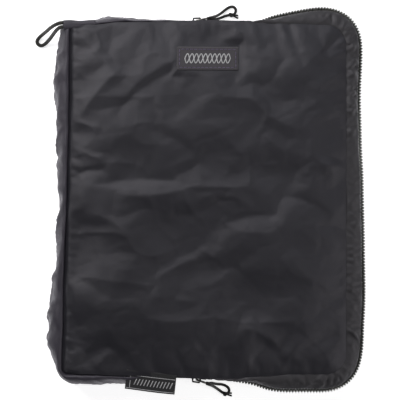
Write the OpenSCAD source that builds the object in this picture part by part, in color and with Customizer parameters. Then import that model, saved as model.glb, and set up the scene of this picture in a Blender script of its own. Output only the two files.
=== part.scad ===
// Zippered storage pouch of thin nylon, lying on its back with the front panel up.
// +X is the zip side, +Y the top edge with the hanging loop, +Z out of the front panel.
// The origin is the middle of the back panel's resting face. All sizes are in millimetres.

/* [Pouch] */
// Width of the front and back panels, seam to seam
panel_w = 162; // [130:1:240]
// Height of the front and back panels, seam to seam
panel_h = 202; // [160:1:300]
// Thickness of the closed pouch, back face to front face
pouch_t = 24; // [22:0.5:36]
// Corner radius of the panels on the zip side
panel_r = 12; // [6:1:20]
// Corner radius of the panels on the spine side
spine_r = 3; // [2:0.5:8]

/* [Cloth] */
// Thickness of the front and back panels with their lining
panel_t = 1.6; // [1:0.1:2.4]
// Thickness of the gusset and of the strips beside the zip
gusset_t = 1.2; // [0.8:0.1:1.6]
// Thickness of the folded binding over the inner seams
binding_t = 1.6; // [1:0.1:2]
// Height of the folded binding over the inner seams
binding_h = 2.4; // [1.5:0.1:3]

/* [Outline] */
// How far the spine gusset stands out beyond the panels' seam
spine_out = 7.5; // [4:0.5:12]
// How far the coil stands out beyond the panels' seam on the zip side
zip_out = 9.2; // [7:0.2:12]
// How far the gusset stands out beyond the seam at the spine's corners
corner_out = 4; // [3:0.5:8]
// How far the coil stands out beyond the seam at the zip's two ends
pinch_out = 0.6; // [0:0.2:6]
// Corner radius of the coil line
zip_r = 20; // [14:1:26]
// Slope of the coil line from the top zip end, degrees
top_slope_1 = 2.5; // [0:0.5:4]
// Slope of the coil line from the knee to the top corner, degrees
top_slope_2 = 11.5; // [6:0.5:13]
// Slope of the coil line from the bottom zip end, degrees
bottom_slope_1 = 9.4; // [6:0.2:10]
// Slope of the coil line from the knee to the bottom corner, degrees
bottom_slope_2 = 4; // [2:0.2:6]

/* [Zip] */
// Where the two ends of the zip lie across the panel
zip_start = -12; // [-24:1:10]
// Where the coil line changes slope
zip_knee = 30; // [26:1:44]
// Depth of the coil, outwards
coil_d = 2.4; // [2:0.1:3]
// Width of one half of the coil
coil_w = 2.4; // [2:0.1:3]
// Gap between the two halves of the coil
coil_gap = 1.4; // [1.2:0.1:2]
// Thickness of the zip tape
tape_t = 0.8; // [0.5:0.1:1]
// Width of the tape that shows beside the middle of the coil
tape_w = 5.5; // [5:0.1:6.5]
// Length of an end stop along the coil
stop_l = 0.9; // [0.6:0.1:1.5]

/* [Cover flap] */
// Where the front panel folds when the zip is open
fold_x = -21; // [-40:1:-18]
// Clearance between the flap and what it leaves behind
flap_gap = 0.4; // [0.3:0.05:0.8]

/* [Slider] */
// Length of a slider along the zip
slider_l = 11; // [9:0.5:13]
// Width of a slider across its nose
nose_w = 8.9; // [8:0.1:10]
// Width of a slider across its tail
tail_w = 8.1; // [7.8:0.1:9]
// Thickness of a slider's plates
plate_t = 1; // [0.8:0.1:1.2]
// Running clearance between a slider and the coil and tape
slider_clear = 0.35; // [0.25:0.05:0.5]
// Thickness of the post that joins a slider's plates
post_t = 0.7; // [0.5:0.05:0.8]
// Height of the bridge over a slider's top plate
bridge_h = 2.9; // [2.5:0.1:3.5]
// Length of the bridge
bridge_l = 6; // [5:0.5:7]
// Width of the bridge
bridge_w = 1.8; // [1.4:0.1:2.2]
// Wall of the bridge
bridge_wall = 0.9; // [0.7:0.1:1.1]

/* [Pull tab] */
// Length of a pull tab from its pivot bar to its outer end
tab_l = 6; // [5:0.5:9]
// Width of a pull tab
tab_w = 4.8; // [4.4:0.1:6]
// Thickness of a pull tab and of its pivot bar
tab_t = 0.9; // [0.7:0.05:1]
// Width of a pull tab's rim
tab_rim = 1; // [0.8:0.1:1.2]
// Angle between a pull tab and its slider at rest, degrees
tab_angle = 10; // [5:1:30]

/* [Cords] */
// Diameter of the hanging loop's cord
loop_d = 2.2; // [1.6:0.1:2.4]
// Diameter of the pull cords
pull_d = 1.7; // [1.2:0.1:1.8]
// Length of the folded sleeve that holds the hanging loop
sleeve_l = 18.5; // [14:0.5:24]
// Width of the sleeve
sleeve_w = 5.6; // [5:0.1:7]
// Height of the sleeve
sleeve_h = 2.9; // [2.6:0.1:3.4]

/* [Labels] */
// Length of the woven label on the front
front_label_w = 35.4; // [25:0.2:50]
// Height of the woven label on the front
front_label_h = 13.6; // [10:0.2:20]
// Distance from the top seam to the middle of the woven label
front_label_drop = 19.8; // [14:0.2:40]
// Length of the folded label in the bottom seam
seam_label_w = 29; // [20:0.5:40]
// How far the folded label stands out of the bottom seam
seam_label_h = 9.5; // [6:0.5:14]
// Thickness of both labels
label_t = 0.5; // [0.3:0.1:0.8]

/* [Hidden] */

half_w = panel_w / 2;
half_h = panel_h / 2;
back_z = panel_t;
front_z = pouch_t - panel_t;
mid_z = pouch_t / 2;
zip_x = half_w + zip_out;
spine_x = half_w + spine_out;
spine_start = -half_w + spine_r;
spine_turn = spine_r + spine_out;
tape_z = mid_z + tape_w;
slider_x = zip_start + stop_l + flap_gap;
slider_end = slider_x + slider_l;
flap_zip_start = slider_end + slider_clear + flap_gap;
arc_steps = 7;
side_steps = 4;
label_x = 0.9;
label_y = half_h - front_label_drop;
seam_label_x = -31.5;
seam_label_turn = -6.5;
seam_label_dip = 24;
sleeve_x = -half_w - 1.5;
sleeve_y = half_h + 0.1;
sleeve_z = front_z - sleeve_h - 0.1;

// The top and the bottom edge: side, slopes of the coil line and its height at the zip end
EDGES = [[1, top_slope_1, top_slope_2], [-1, bottom_slope_1, bottom_slope_2]];
edge_y = half_h + pinch_out;
corner_y = half_h + corner_out;

// Routes of the cords' middle lines
LOOP_ROUTE = [[-82.5, 102.3, 20.9], [-85, 102, 20.4], [-88, 101, 18], [-91, 99.6, 13.5], [-93.5, 98.2, 8.5],
    [-96, 96.8, 4], [-98.2, 95.2, 1.6], [-99.4, 93.2, 1.1], [-98.8, 91.4, 1.1], [-96.8, 90.6, 1.1],
    [-94.6, 91.6, 1.8], [-92.6, 93.2, 4.2], [-90.6, 95, 8], [-88.6, 96.8, 13], [-86.6, 98.4, 17.6],
    [-84.6, 99.6, 20.2], [-82.5, 99.9, 20.9]];
TOP_ROUTE = [[0.8, 105.5, 13.1], [2.6, 106, 12.4], [4.6, 106.8, 9.4], [6.8, 108, 5.4], [9.2, 109.8, 2.2],
    [11.8, 112, 0.9], [14.4, 113.4, 0.8], [16.6, 113.2, 0.8], [17.6, 111.2, 0.8], [16.4, 109, 0.8],
    [13.8, 108.6, 0.8], [11.2, 108, 0.9], [8.8, 106.9, 2], [6.6, 106, 4.4], [4.6, 105.5, 7.6],
    [2.6, 105.4, 10], [0.8, 105.3, 10.9]];
BOTTOM_ROUTE = [[0.2, -107.2, 13.1], [1.8, -107.9, 12.2], [3.6, -108.9, 8.8], [5.6, -110.4, 4.6],
    [7.8, -112.2, 1.6], [10, -113.8, 0.8], [12.2, -114.4, 0.8], [13.6, -113, 0.8], [13.2, -111, 0.8],
    [11.4, -109.6, 0.8], [9.2, -108.9, 1], [7.2, -108.6, 2.4], [5.2, -108.1, 4.8], [3.4, -107.5, 7.4],
    [1.8, -107.4, 10.2], [0.2, -107, 10.9]];

// The routes are drawn for a pouch of this width, height and thickness, with this slider
route_size = [162, 202, 24];
route_slider = [-10.7, 11, 6];
loop_move = [(route_size.x - panel_w) / 2, (panel_h - route_size.y) / 2];
pull_move = [slider_x - route_slider.x + (slider_l - route_slider.y) / 2 + tab_l - route_slider.z, loop_move.y];

// A route that follows the pouch's size and keeps its cord on the table
function moved(route, move, d) =
    [for (p = route) [p.x + move.x, p.y + sign(p.y) * move.y, max(p.z * pouch_t / route_size.z, d / 2 + 0.02)]];

// Height of the coil line on an edge at x, before its side is put in
function coil_line(edge, x) =
    let (knee = edge_y + (zip_knee - zip_start) * tan(edge[1]))
    x < zip_start ? edge_y + (corner_y - edge_y) * (zip_start - x) / (zip_start - spine_start)
    : x < zip_knee ? edge_y + (x - zip_start) * tan(edge[1])
    : knee + (x - zip_knee) * tan(edge[2]);

// Height of the middle of the coil line's corner
function coil_corner(edge) =
    coil_line(edge, zip_knee) + (zip_x - zip_r - zip_knee) * tan(edge[2]) - zip_r / cos(edge[2]);

// A station is a point on the seam, a point on the coil line and the outward direction
function line_station(edge, x) = [[x, edge[0] * half_h], [x, edge[0] * coil_line(edge, x)], [0, edge[0]]];

function line_stations(edge, xs) = [for (x = xs) line_station(edge, x)];

// Stations round the corner of the zip side, from the edge to the side
function corner_stations(edge) = [for (k = [0 : arc_steps])
    let (a = (90 + edge[2]) * (1 - k / arc_steps), b = 90 * (1 - k / arc_steps), out = [cos(a), edge[0] * sin(a)])
    [[half_w - panel_r + panel_r * cos(b), edge[0] * (half_h - panel_r + panel_r * sin(b))],
     [zip_x - zip_r, edge[0] * coil_corner(edge)] + zip_r * out, out]];

// Stations down the zip side, between its corners
function side_stations() = [for (k = [1 : side_steps - 1])
    let (t = k / side_steps)
    [[half_w, (half_h - panel_r) * (1 - 2 * t)],
     [zip_x, coil_corner(EDGES[0]) * (1 - t) - coil_corner(EDGES[1]) * t], [1, 0]]];

// Stations along the spine, round both its corners
function spine_stations() =
    let (arc = [for (k = [0 : arc_steps]) 90 + 90 * k / arc_steps],
         top = [for (a = arc) [spine_point(a, spine_r, half_h), spine_point(a, spine_turn, corner_y), [cos(a), sin(a)]]])
    concat(top, [for (k = [arc_steps : -1 : 0]) flipped(top[k])]);

function spine_point(a, r, y) = [spine_start, y - r] + r * [cos(a), sin(a)];

// A station mirrored from the top edge to the bottom one
function flipped(s) = [for (p = s) [p[0], -p[1]]];

function reversed(list) = [for (k = [len(list) - 1 : -1 : 0]) list[k]];

// Stations along the whole zip from x_start on the top edge to x_start on the bottom edge
function zip_stations(x_start) =
    let (xs = [for (x = [x_start, 10, zip_knee - 6, zip_knee, zip_knee + 6, 50]) if (x >= x_start) x])
    concat(line_stations(EDGES[0], xs), corner_stations(EDGES[0]), side_stations(),
        reversed(corner_stations(EDGES[1])), line_stations(EDGES[1], reversed(xs)));

// A profile's points are [share of the way from seam to coil line, distance outwards, height]
function section(s, profile) = [for (p = profile)
    let (q = s[0] + (s[1] - s[0]) * p[0] + s[2] * p[1]) [q[0], q[1], p[2]]];

// A closed solid through sections that have their points in the same order
module loft(sections) {
    n = len(sections[0]);
    last = (len(sections) - 1) * n;
    sides = [for (i = [0 : len(sections) - 2], j = [0 : n - 1])
        let (a = i * n + j, b = i * n + (j + 1) % n) each [[a, b, b + n], [a, b + n, a + n]]];
    caps = [[for (j = [n - 1 : -1 : 0]) j], [for (j = [0 : n - 1]) last + j]];
    polyhedron([for (s = sections) each s], concat(sides, caps), convexity = 8);
}

// A band of cloth that follows stations with one profile
module band(stations, profile) {
    loft([for (s = stations) section(s, profile)]);
}

// Profiles of the pouch's walls
GUSSET = [[0, 0, front_z], [0.6, -0.4, front_z - 3.4], [1, -1.2, mid_z + 3], [1, -1.2, mid_z - 3],
    [0.6, -0.4, back_z + 3.4], [0, 0, back_z], [0, -gusset_t, back_z], [0.6, -0.4 - gusset_t, back_z + 3.6],
    [1, -1.2 - gusset_t, mid_z - 2.8], [1, -1.2 - gusset_t, mid_z + 2.8],
    [0.6, -0.4 - gusset_t, front_z - 3.6], [0, -gusset_t, front_z]];
LOWERED = [for (p = GUSSET) [p[0], p[1], min(p[2], front_z - flap_gap)]];
STRIP = [[0, 0, front_z], [1, -coil_d, tape_z], [1, -coil_d - tape_t, tape_z], [0, -gusset_t, front_z]];
TAPE = rect_profile(-coil_d - tape_t, -coil_d, mid_z + coil_gap / 2, tape_z);
COIL = rect_profile(-coil_d, 0, mid_z + coil_gap / 2, mid_z + coil_gap / 2 + coil_w);
END_TAPE = rect_profile(-coil_d - tape_t, -coil_d, mid_z + coil_gap / 2, tape_z - flap_gap);
STOP = rect_profile(-coil_d - tape_t - 0.2, 0.2, mid_z - coil_gap / 2 - coil_w, mid_z + coil_gap / 2 + coil_w);

function rect_profile(low, high, z1, z2) = [[1, high, z2], [1, high, z1], [1, low, z1], [1, low, z2]];

// A profile on the seam itself, for the binding on the inside
function binding_profile(z1, z2) = [for (p = rect_profile(-gusset_t - binding_t, -gusset_t, z1, z2)) [0, p[1], p[2]]];

// The same profile in the back half of the pouch
function back_of(profile) = reversed([for (p = profile) [p[0], p[1], pouch_t - p[2]]]);

// A cord's tube through the points of its route
module tube(route, d, sides) {
    path = smooth(route);
    n = len(path) - 1;
    loft([for (i = [0 : n])
        let (t = unit(path[min(i + 1, n)] - path[max(i - 1, 0)]), u = unit(cross([0, 0, 1], t)), v = cross(t, u))
        [for (k = [0 : sides - 1]) let (a = -360 * k / sides) path[i] + d / 2 * (cos(a) * u + sin(a) * v)]]);
}

function unit(v) = v / norm(v);

// The route with one more point between each pair, on the curve that passes through them all
function smooth(p) = let (n = len(p) - 1)
    concat([for (i = [0 : n - 1]) each [p[i],
        (9 * (p[i] + p[i + 1]) - p[max(i - 1, 0)] - p[min(i + 2, n)]) / 16]], [p[n]]);

// Flat outline of a panel from x1 to x2, square where it is cut by the fold
module panel_outline(x1, x2) {
    intersection() {
        polygon([for (s = concat(reversed(spine_stations()), zip_stations(spine_start + 1))) s[0]]);
        translate([x1, -half_h]) square([x2 - x1, panel_h]);
    }
}

module back_panel() {
    color("#323236") linear_extrude(panel_t) panel_outline(-half_w, half_w);
}

module front_panel() {
    color("#34343a") translate([0, 0, front_z]) linear_extrude(panel_t)
        panel_outline(-half_w, fold_x - flap_gap / 2);
}

module front_flap() {
    color("#34343a") translate([0, 0, front_z]) linear_extrude(panel_t)
        panel_outline(fold_x + flap_gap / 2, half_w);
}

module spine_gusset() {
    color("#5d5a60") band(spine_stations(), GUSSET);
}

// The gusset from the spine's corner to the zip end, lowered where the flap lies over it
module edge_gusset(edge) {
    edge_of_flap = fold_x - flap_gap / 2;
    stations = line_stations(edge, [spine_start, (spine_start + fold_x) / 2, edge_of_flap - 1, edge_of_flap, zip_start]);
    loft([for (s = edge[0] > 0 ? stations : reversed(stations)) section(s, s[0][0] < edge_of_flap ? GUSSET : LOWERED)]);
}

module top_gusset() {
    color("#525156") edge_gusset(EDGES[0]);
}

module bottom_gusset() {
    color("#525156") edge_gusset(EDGES[1]);
}

module back_zip_strip() {
    color("#4a484c") band(zip_stations(zip_start), back_of(STRIP));
}

module front_zip_strip() {
    color("#4a484c") band(zip_stations(zip_start + flap_gap), STRIP);
}

module back_zip_tape() {
    color("#464642") band(zip_stations(zip_start + stop_l), back_of(TAPE));
}

module front_zip_tape() {
    color("#464642") band(zip_stations(flap_zip_start), TAPE);
}

module back_zip_coil() {
    color("#1c1c1a") band(zip_stations(zip_start + stop_l), back_of(COIL));
}

module front_zip_coil() {
    color("#1c1c1a") band(zip_stations(flap_zip_start), COIL);
}

// The front half of the zip under a parked slider, which stays with the gusset
module zip_end(edge) {
    stations = line_stations(edge, [zip_start + stop_l, flap_zip_start - flap_gap]);
    order = edge[0] > 0 ? stations : reversed(stations);
    color("#464642") band(order, END_TAPE);
    color("#1c1c1a") band(order, COIL);
}

module top_zip_end() {
    zip_end(EDGES[0]);
}

module bottom_zip_end() {
    zip_end(EDGES[1]);
}

// The clip that closes the end of the coil
module end_stop(edge) {
    stations = line_stations(edge, [zip_start, zip_start + stop_l]);
    color("#303030") band(edge[0] > 0 ? stations : reversed(stations), STOP);
}

module top_end_stop() {
    end_stop(EDGES[0]);
}

module bottom_end_stop() {
    end_stop(EDGES[1]);
}

module back_seam_binding() {
    color("#232325") {
        band(zip_stations(spine_start), binding_profile(back_z, back_z + binding_h));
        band(reversed(spine_stations()), binding_profile(back_z, back_z + binding_h));
    }
}

module front_seam_binding() {
    left = [spine_start, fold_x - flap_gap];
    stations = concat(line_stations(EDGES[1], reversed(left)), reversed(spine_stations()),
        line_stations(EDGES[0], left));
    color("#232325") band([for (k = [0 : len(stations) - 1]) if (k == 0 || stations[k] != stations[k - 1]) stations[k]],
        binding_profile(front_z - binding_h, front_z));
}

module flap_seam_binding() {
    color("#232325") band(zip_stations(zip_start + flap_gap), binding_profile(front_z - binding_h, front_z));
}

module front_label() {
    color("#54505a") translate([label_x - front_label_w / 2, label_y - front_label_h / 2, pouch_t])
        cube([front_label_w, front_label_h, label_t]);
}

// The folded label hangs out of the bottom seam and dips towards the floor
module seam_label() {
    color("#1c1a1c") translate([seam_label_x, -half_h, front_z - 0.6]) rotate([0, 0, seam_label_turn])
        rotate([seam_label_dip, 0, 0]) translate([-seam_label_w / 2, -seam_label_h - 1, -label_t])
        cube([seam_label_w, seam_label_h, label_t]);
}

module loop_sleeve() {
    color("#3c3b3f") translate([sleeve_x, sleeve_y - sleeve_w / 2, sleeve_z])
        cube([sleeve_l, sleeve_w, sleeve_h]);
}

module hanging_loop() {
    color("#1a1a18") tube(moved(LOOP_ROUTE, loop_move, loop_d), loop_d, 8);
}

// Outline of a slider's plates, nose towards -X
module plate_outline() {
    chamfer = 2.2;
    polygon([[0, -nose_w / 2 + chamfer], [chamfer, -nose_w / 2], [slider_l * 0.5, -nose_w / 2],
        [slider_l, -tail_w / 2], [slider_l, tail_w / 2], [slider_l * 0.5, nose_w / 2],
        [chamfer, nose_w / 2], [0, nose_w / 2 - chamfer]]);
}

// Lays a drawing of a slider's plan on the chain: drawn X along it, drawn Y upwards, height outwards
module on_chain(out) {
    translate([0, out, 0]) rotate([90, 0, 0]) mirror([0, 0, 1]) children();
}

// The bridge: an arch with a window for the pull tab's bar
module bridge() {
    foot = slider_clear + plate_t;
    translate([slider_l / 2 - bridge_l / 2, foot - 0.1, -bridge_w / 2]) linear_extrude(bridge_w) difference() {
        polygon([[0, 0], [0.8, bridge_h + 0.1], [bridge_l - 0.8, bridge_h + 0.1], [bridge_l, 0]]);
        translate([bridge_wall + 0.5, 0.1]) square([bridge_l - 2 * bridge_wall - 1, bridge_h - bridge_wall]);
    }
}

// A slider round the chain: its own X runs from nose to tail and its Y outwards from the coil's face
module slider() {
    lip = coil_d - 0.35 + slider_clear;
    inner = coil_d + tape_t + slider_clear + plate_t;
    on_chain(slider_clear) linear_extrude(plate_t) plate_outline();
    on_chain(-inner) linear_extrude(plate_t) plate_outline();
    on_chain(slider_clear - lip) linear_extrude(lip) difference() {
        plate_outline();
        square([3 * slider_l, 2 * (coil_gap / 2 + coil_w + slider_clear)], center = true);
    }
    translate([2, -inner, -post_t / 2]) cube([2.4, inner + slider_clear + plate_t, post_t]);
    bridge();
}

// Puts a slider's drawing at its parked place on an edge
module parked(edge) {
    mirror([0, edge[0] > 0 ? 0 : 1, 0]) translate([slider_x, coil_line(edge, slider_x), mid_z])
        rotate([0, 0, edge[1]]) children();
}

// Height of a pull tab's pivot above the coil's face
pivot_out = slider_clear + plate_t + (bridge_h - bridge_wall) / 2;

// A flat tab with a slot round the bridge and an eye for the cord, drawn from its pivot bar
module pull_tab() {
    bar = tab_t / 2;
    slot = 2.4;
    translate([slider_l / 2, pivot_out, 0]) rotate([0, 0, tab_angle])
        on_chain(-tab_t / 2) linear_extrude(tab_t) difference() {
            translate([-bar, -tab_w / 2]) square([tab_l + bar, tab_w]);
            translate([bar, -tab_w / 2 + tab_rim]) square([slot, tab_w - 2 * tab_rim]);
            translate([bar + slot + tab_rim, -tab_w / 2 + tab_rim])
                square([tab_l - slot - bar - 2 * tab_rim, tab_w - 2 * tab_rim]);
        }
}

module top_slider() {
    color("#2c2c2e") parked(EDGES[0]) slider();
}

module bottom_slider() {
    color("#2c2c2e") parked(EDGES[1]) slider();
}

module top_pull_tab() {
    color("#3a3a3c") parked(EDGES[0]) pull_tab();
}

module bottom_pull_tab() {
    color("#3a3a3c") parked(EDGES[1]) pull_tab();
}

module top_pull_cord() {
    color("#1e1e1c") tube(moved(TOP_ROUTE, pull_move, pull_d), pull_d, 8);
}

module bottom_pull_cord() {
    color("#1e1e1c") tube(moved(BOTTOM_ROUTE, pull_move, pull_d), pull_d, 8);
}

// A knot as a short round bead on its cord
module knot(at, turn, l) {
    translate(at) rotate([0, 0, turn]) rotate([0, 90, 0])
        rotate_extrude($fn = 24) polygon([[0, -l / 2], [1, -l / 2], [1.7, -l / 4], [1.7, l / 4], [1, l / 2], [0, l / 2]]);
}

module top_pull_knot() {
    color("#1e1e1c") knot([15.1 + pull_move.x, 108.6 + pull_move.y, 1.75], -15, 3.6);
}

module bottom_pull_knot() {
    color("#1e1e1c") knot([11.2 + pull_move.x, -114.3 - pull_move.y, 1.75], -8, 3.2);
}

back_panel();
front_panel();
front_flap();
spine_gusset();
top_gusset();
bottom_gusset();
back_zip_strip();
front_zip_strip();
back_zip_tape();
front_zip_tape();
back_zip_coil();
front_zip_coil();
top_zip_end();
bottom_zip_end();
top_end_stop();
bottom_end_stop();
back_seam_binding();
front_seam_binding();
flap_seam_binding();
front_label();
seam_label();
loop_sleeve();
hanging_loop();
top_slider();
bottom_slider();
top_pull_tab();
bottom_pull_tab();
top_pull_cord();
bottom_pull_cord();
top_pull_knot();
bottom_pull_knot();
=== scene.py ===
"""Zippered storage pouch of thin nylon: creased cloth panels, gussets, coil zip, sliders, cords and labels.

Lengths are metres in the part's own frame: +X to the zip side, +Y to the top edge, +Z out of the front.
"""

import logging
import math
from dataclasses import dataclass, field
from enum import Enum
from typing import Optional, Sequence, Union

import bmesh
import bpy
import numpy as np
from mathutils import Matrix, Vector
from mathutils.bvhtree import BVHTree


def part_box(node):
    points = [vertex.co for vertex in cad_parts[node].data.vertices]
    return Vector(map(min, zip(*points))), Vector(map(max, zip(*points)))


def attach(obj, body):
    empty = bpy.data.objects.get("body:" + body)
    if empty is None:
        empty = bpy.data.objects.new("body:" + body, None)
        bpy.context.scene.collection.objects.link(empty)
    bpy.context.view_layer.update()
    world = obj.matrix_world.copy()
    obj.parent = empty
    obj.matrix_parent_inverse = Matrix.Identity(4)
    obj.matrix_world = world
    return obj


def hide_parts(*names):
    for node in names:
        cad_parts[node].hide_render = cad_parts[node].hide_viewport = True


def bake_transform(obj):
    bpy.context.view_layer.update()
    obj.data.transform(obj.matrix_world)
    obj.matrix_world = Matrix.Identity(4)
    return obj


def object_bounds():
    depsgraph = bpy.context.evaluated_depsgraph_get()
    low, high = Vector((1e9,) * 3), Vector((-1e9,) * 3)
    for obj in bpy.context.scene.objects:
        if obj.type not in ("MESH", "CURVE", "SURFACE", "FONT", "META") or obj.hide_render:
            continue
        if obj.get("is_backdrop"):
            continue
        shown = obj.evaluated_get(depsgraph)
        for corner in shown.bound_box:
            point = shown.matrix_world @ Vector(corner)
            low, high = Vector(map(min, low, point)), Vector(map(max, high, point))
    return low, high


LOG = logging.getLogger("pouch")
MM = 0.001
Number = Union[float, np.ndarray]


class Body(Enum):
    """The CAD bodies that pieces ride on."""

    ROOT = "root"
    COVER = "cover"
    TOP_SLIDER = "top_slider"
    BOTTOM_SLIDER = "bottom_slider"
    TOP_PULL = "top_pull"
    BOTTOM_PULL = "bottom_pull"


class Edge(Enum):
    """The two edges across the pouch, by the sign of their Y."""

    TOP = 1
    BOTTOM = -1


class Half(Enum):
    """The two halves of the pouch on either side of the zip, by the sign of Z from its middle."""

    FRONT = 1
    BACK = -1


# ---------------------------------------------------------------- shader maths


class Sock:
    """A shader socket that adds Math nodes when it is used in an expression."""

    def __init__(self, paint: "Paint", out: bpy.types.NodeSocket) -> None:
        """Keeps the socket and the node tree it belongs to.

        Args:
            paint: the material's node builder.
            out: the output socket.
        """
        self.paint = paint
        self.out = out

    def _math(self, operation: str, *values: object) -> "Sock":
        """One Math node."""
        inputs = {i: v for i, v in enumerate(values)}
        return self.paint.node("ShaderNodeMath", {"operation": operation}, inputs)

    def __add__(self, other: object) -> "Sock":
        """self + other."""
        return self._math("ADD", self, other)

    def __radd__(self, other: object) -> "Sock":
        """other + self."""
        return self._math("ADD", other, self)

    def __sub__(self, other: object) -> "Sock":
        """self - other."""
        return self._math("SUBTRACT", self, other)

    def __rsub__(self, other: object) -> "Sock":
        """other - self."""
        return self._math("SUBTRACT", other, self)

    def __mul__(self, other: object) -> "Sock":
        """self * other."""
        return self._math("MULTIPLY", self, other)

    def __rmul__(self, other: object) -> "Sock":
        """other * self."""
        return self._math("MULTIPLY", other, self)

    def __gt__(self, other: object) -> "Sock":
        """1 where self is greater than other, else 0."""
        return self._math("GREATER_THAN", self, other)

    def sin(self) -> "Sock":
        """Sine."""
        return self._math("SINE", self)


class Paint:
    """Builds one material's node tree around a Principled shader."""

    def __init__(self, name: str, fixed: dict) -> None:
        """Starts a material.

        Args:
            name: the material's name.
            fixed: values that are the same all over the surface, by the shader's socket name.
        """
        self.material = bpy.data.materials.new(name)
        self.material.use_nodes = True
        self.tree = self.material.node_tree
        self.shader = self.tree.nodes["Principled BSDF"]
        for socket, value in fixed.items():
            self.shader.inputs[socket].default_value = value

    def node(self, kind: str, settings: dict, inputs: dict, output: Union[int, str] = 0) -> Sock:
        """Adds a node of any type.

        Args:
            kind: the node's type.
            settings: its settings, set first; "stops" gives a ramp's positions and colours.
            inputs: values or sockets, by socket name or number.
            output: which output to return.

        Returns:
            The chosen output.
        """
        made = self.tree.nodes.new(kind)
        stops = settings.get("stops")
        for key, value in settings.items():
            if key != "stops":
                setattr(made, key, value)
        if stops:
            while len(made.color_ramp.elements) < len(stops):
                made.color_ramp.elements.new(0.5)
            for element, (position, colour) in zip(made.color_ramp.elements, stops):
                element.position = position
                element.color = colour
        for key, value in inputs.items():
            if isinstance(value, Sock):
                self.tree.links.new(value.out, made.inputs[key])
            else:
                made.inputs[key].default_value = value
        return Sock(self, made.outputs[output])

    def mix(self, factor: object, low: object, high: object) -> Sock:
        """Mixes two colours by a factor.

        Args:
            factor: 0 gives low, 1 gives high.
            low: the first colour.
            high: the second colour.

        Returns:
            The mixed colour.
        """
        settings = {"data_type": "RGBA", "clamp_factor": True}
        return self.node("ShaderNodeMix", settings, {0: factor, 6: low, 7: high}, 2)

    def weave(self) -> Sock:
        """The cloth's own coordinates, in metres along and across it."""
        return self.node("ShaderNodeAttribute", {"attribute_name": "weave"}, {}, "Vector")

    def place(self) -> Sock:
        """The piece's own coordinates, in metres."""
        return self.node("ShaderNodeTexCoord", {}, {}, "Object")

    def axis(self, vector: Sock, which: str) -> Sock:
        """One component of a vector, "X", "Y" or "Z"."""
        return self.node("ShaderNodeSeparateXYZ", {}, {0: vector}, which)

    def noise(self, vector: Sock, scale: float, detail: float = 2.0, rough: float = 0.5) -> Sock:
        """Noise from 0 to 1.

        Args:
            vector: where it is read.
            scale: waves to the metre.
            detail: octaves.
            rough: weight of the finer octaves.

        Returns:
            The noise value.
        """
        inputs = {"Vector": vector, "Scale": scale, "Detail": detail, "Roughness": rough}
        return self.node("ShaderNodeTexNoise", {}, inputs, "Fac")

    def set(self, socket: str, value: Sock) -> None:
        """Feeds a shader socket that varies over the surface."""
        self.tree.links.new(value.out, self.shader.inputs[socket])

    def bump(self, height: Sock, distance: float, strength: float) -> None:
        """Feeds Normal with a bump of that height.

        Args:
            height: 0 to 1.
            distance: the height in metres that 1 stands for.
            strength: the bump's share.
        """
        inputs = {"Height": height, "Distance": distance, "Strength": strength}
        self.set("Normal", self.node("ShaderNodeBump", {}, inputs, "Normal"))


def rgb(red: float, green: float, blue: float) -> tuple:
    """A linear colour with full alpha."""
    return (red, green, blue, 1.0)


@dataclass(frozen=True)
class Finish:
    """What every two-tone finish starts from."""

    name: str
    dark: tuple
    light: tuple


@dataclass(frozen=True)
class Nylon(Finish):
    """Thin plain-woven nylon with a slight shine."""

    roughness: float = 0.46
    thread: float = 0.32 * MM

    def make(self) -> bpy.types.Material:
        """Builds the material.

        Returns:
            The material.
        """
        p = Paint(self.name, {"Specular IOR Level": 0.55, "Sheen Weight": 0.12, "Sheen Roughness": 0.4,
                              "Sheen Tint": rgb(0.72, 0.68, 0.88), "Specular Tint": rgb(0.94, 0.92, 1.0)})
        uv = p.weave()
        turn = 2 * math.pi / self.thread
        warp = (p.axis(uv, "X") * turn).sin()
        weft = (p.axis(uv, "Y") * turn).sin()
        cloud = p.noise(uv, 38.0, 3.0, 0.6)
        fine = p.noise(uv, 900.0, 2.0)
        streak = p.noise(p.node("ShaderNodeVectorMath", {"operation": "MULTIPLY"},
                                {0: uv, 1: (60.0, 2400.0, 1.0)}), 1.0, 1.0)
        shade = cloud * 0.75 + fine * 0.15 + streak * 0.1
        p.set("Base Color", p.mix(shade, self.dark, self.light))
        p.set("Roughness", self.roughness - 0.06 + cloud * 0.1 + fine * 0.06)
        p.bump(warp * weft * 0.35 + fine * 0.4 + p.noise(uv, 260.0, 3.0, 0.6) * 1.6, 0.06 * MM, 0.75)
        return p.material


@dataclass(frozen=True)
class Webbing(Finish):
    """Woven tape: zip tape, binding and label grounds."""

    rib: float = 0.55 * MM
    roughness: float = 0.78
    depth: float = 0.12 * MM

    def make(self) -> bpy.types.Material:
        """Builds the material.

        Returns:
            The material.
        """
        p = Paint(self.name, {"Specular IOR Level": 0.3, "Sheen Weight": 0.25, "Sheen Roughness": 0.5})
        uv = p.weave()
        turn = 2 * math.pi / self.rib
        slant = ((p.axis(uv, "X") + p.axis(uv, "Y") * 0.5) * turn).sin() * 0.5 + 0.5
        cross = (p.axis(uv, "Y") * turn * 1.7).sin() * 0.5 + 0.5
        yarn = slant * 0.6 + cross * 0.4
        fuzz = p.noise(uv, 1400.0, 2.0)
        p.set("Base Color", p.mix(yarn * 0.7 + fuzz * 0.3, self.dark, self.light))
        p.set("Roughness", self.roughness - 0.08 + fuzz * 0.16)
        p.bump(yarn + fuzz * 0.5, self.depth, 0.8)
        return p.material


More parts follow.
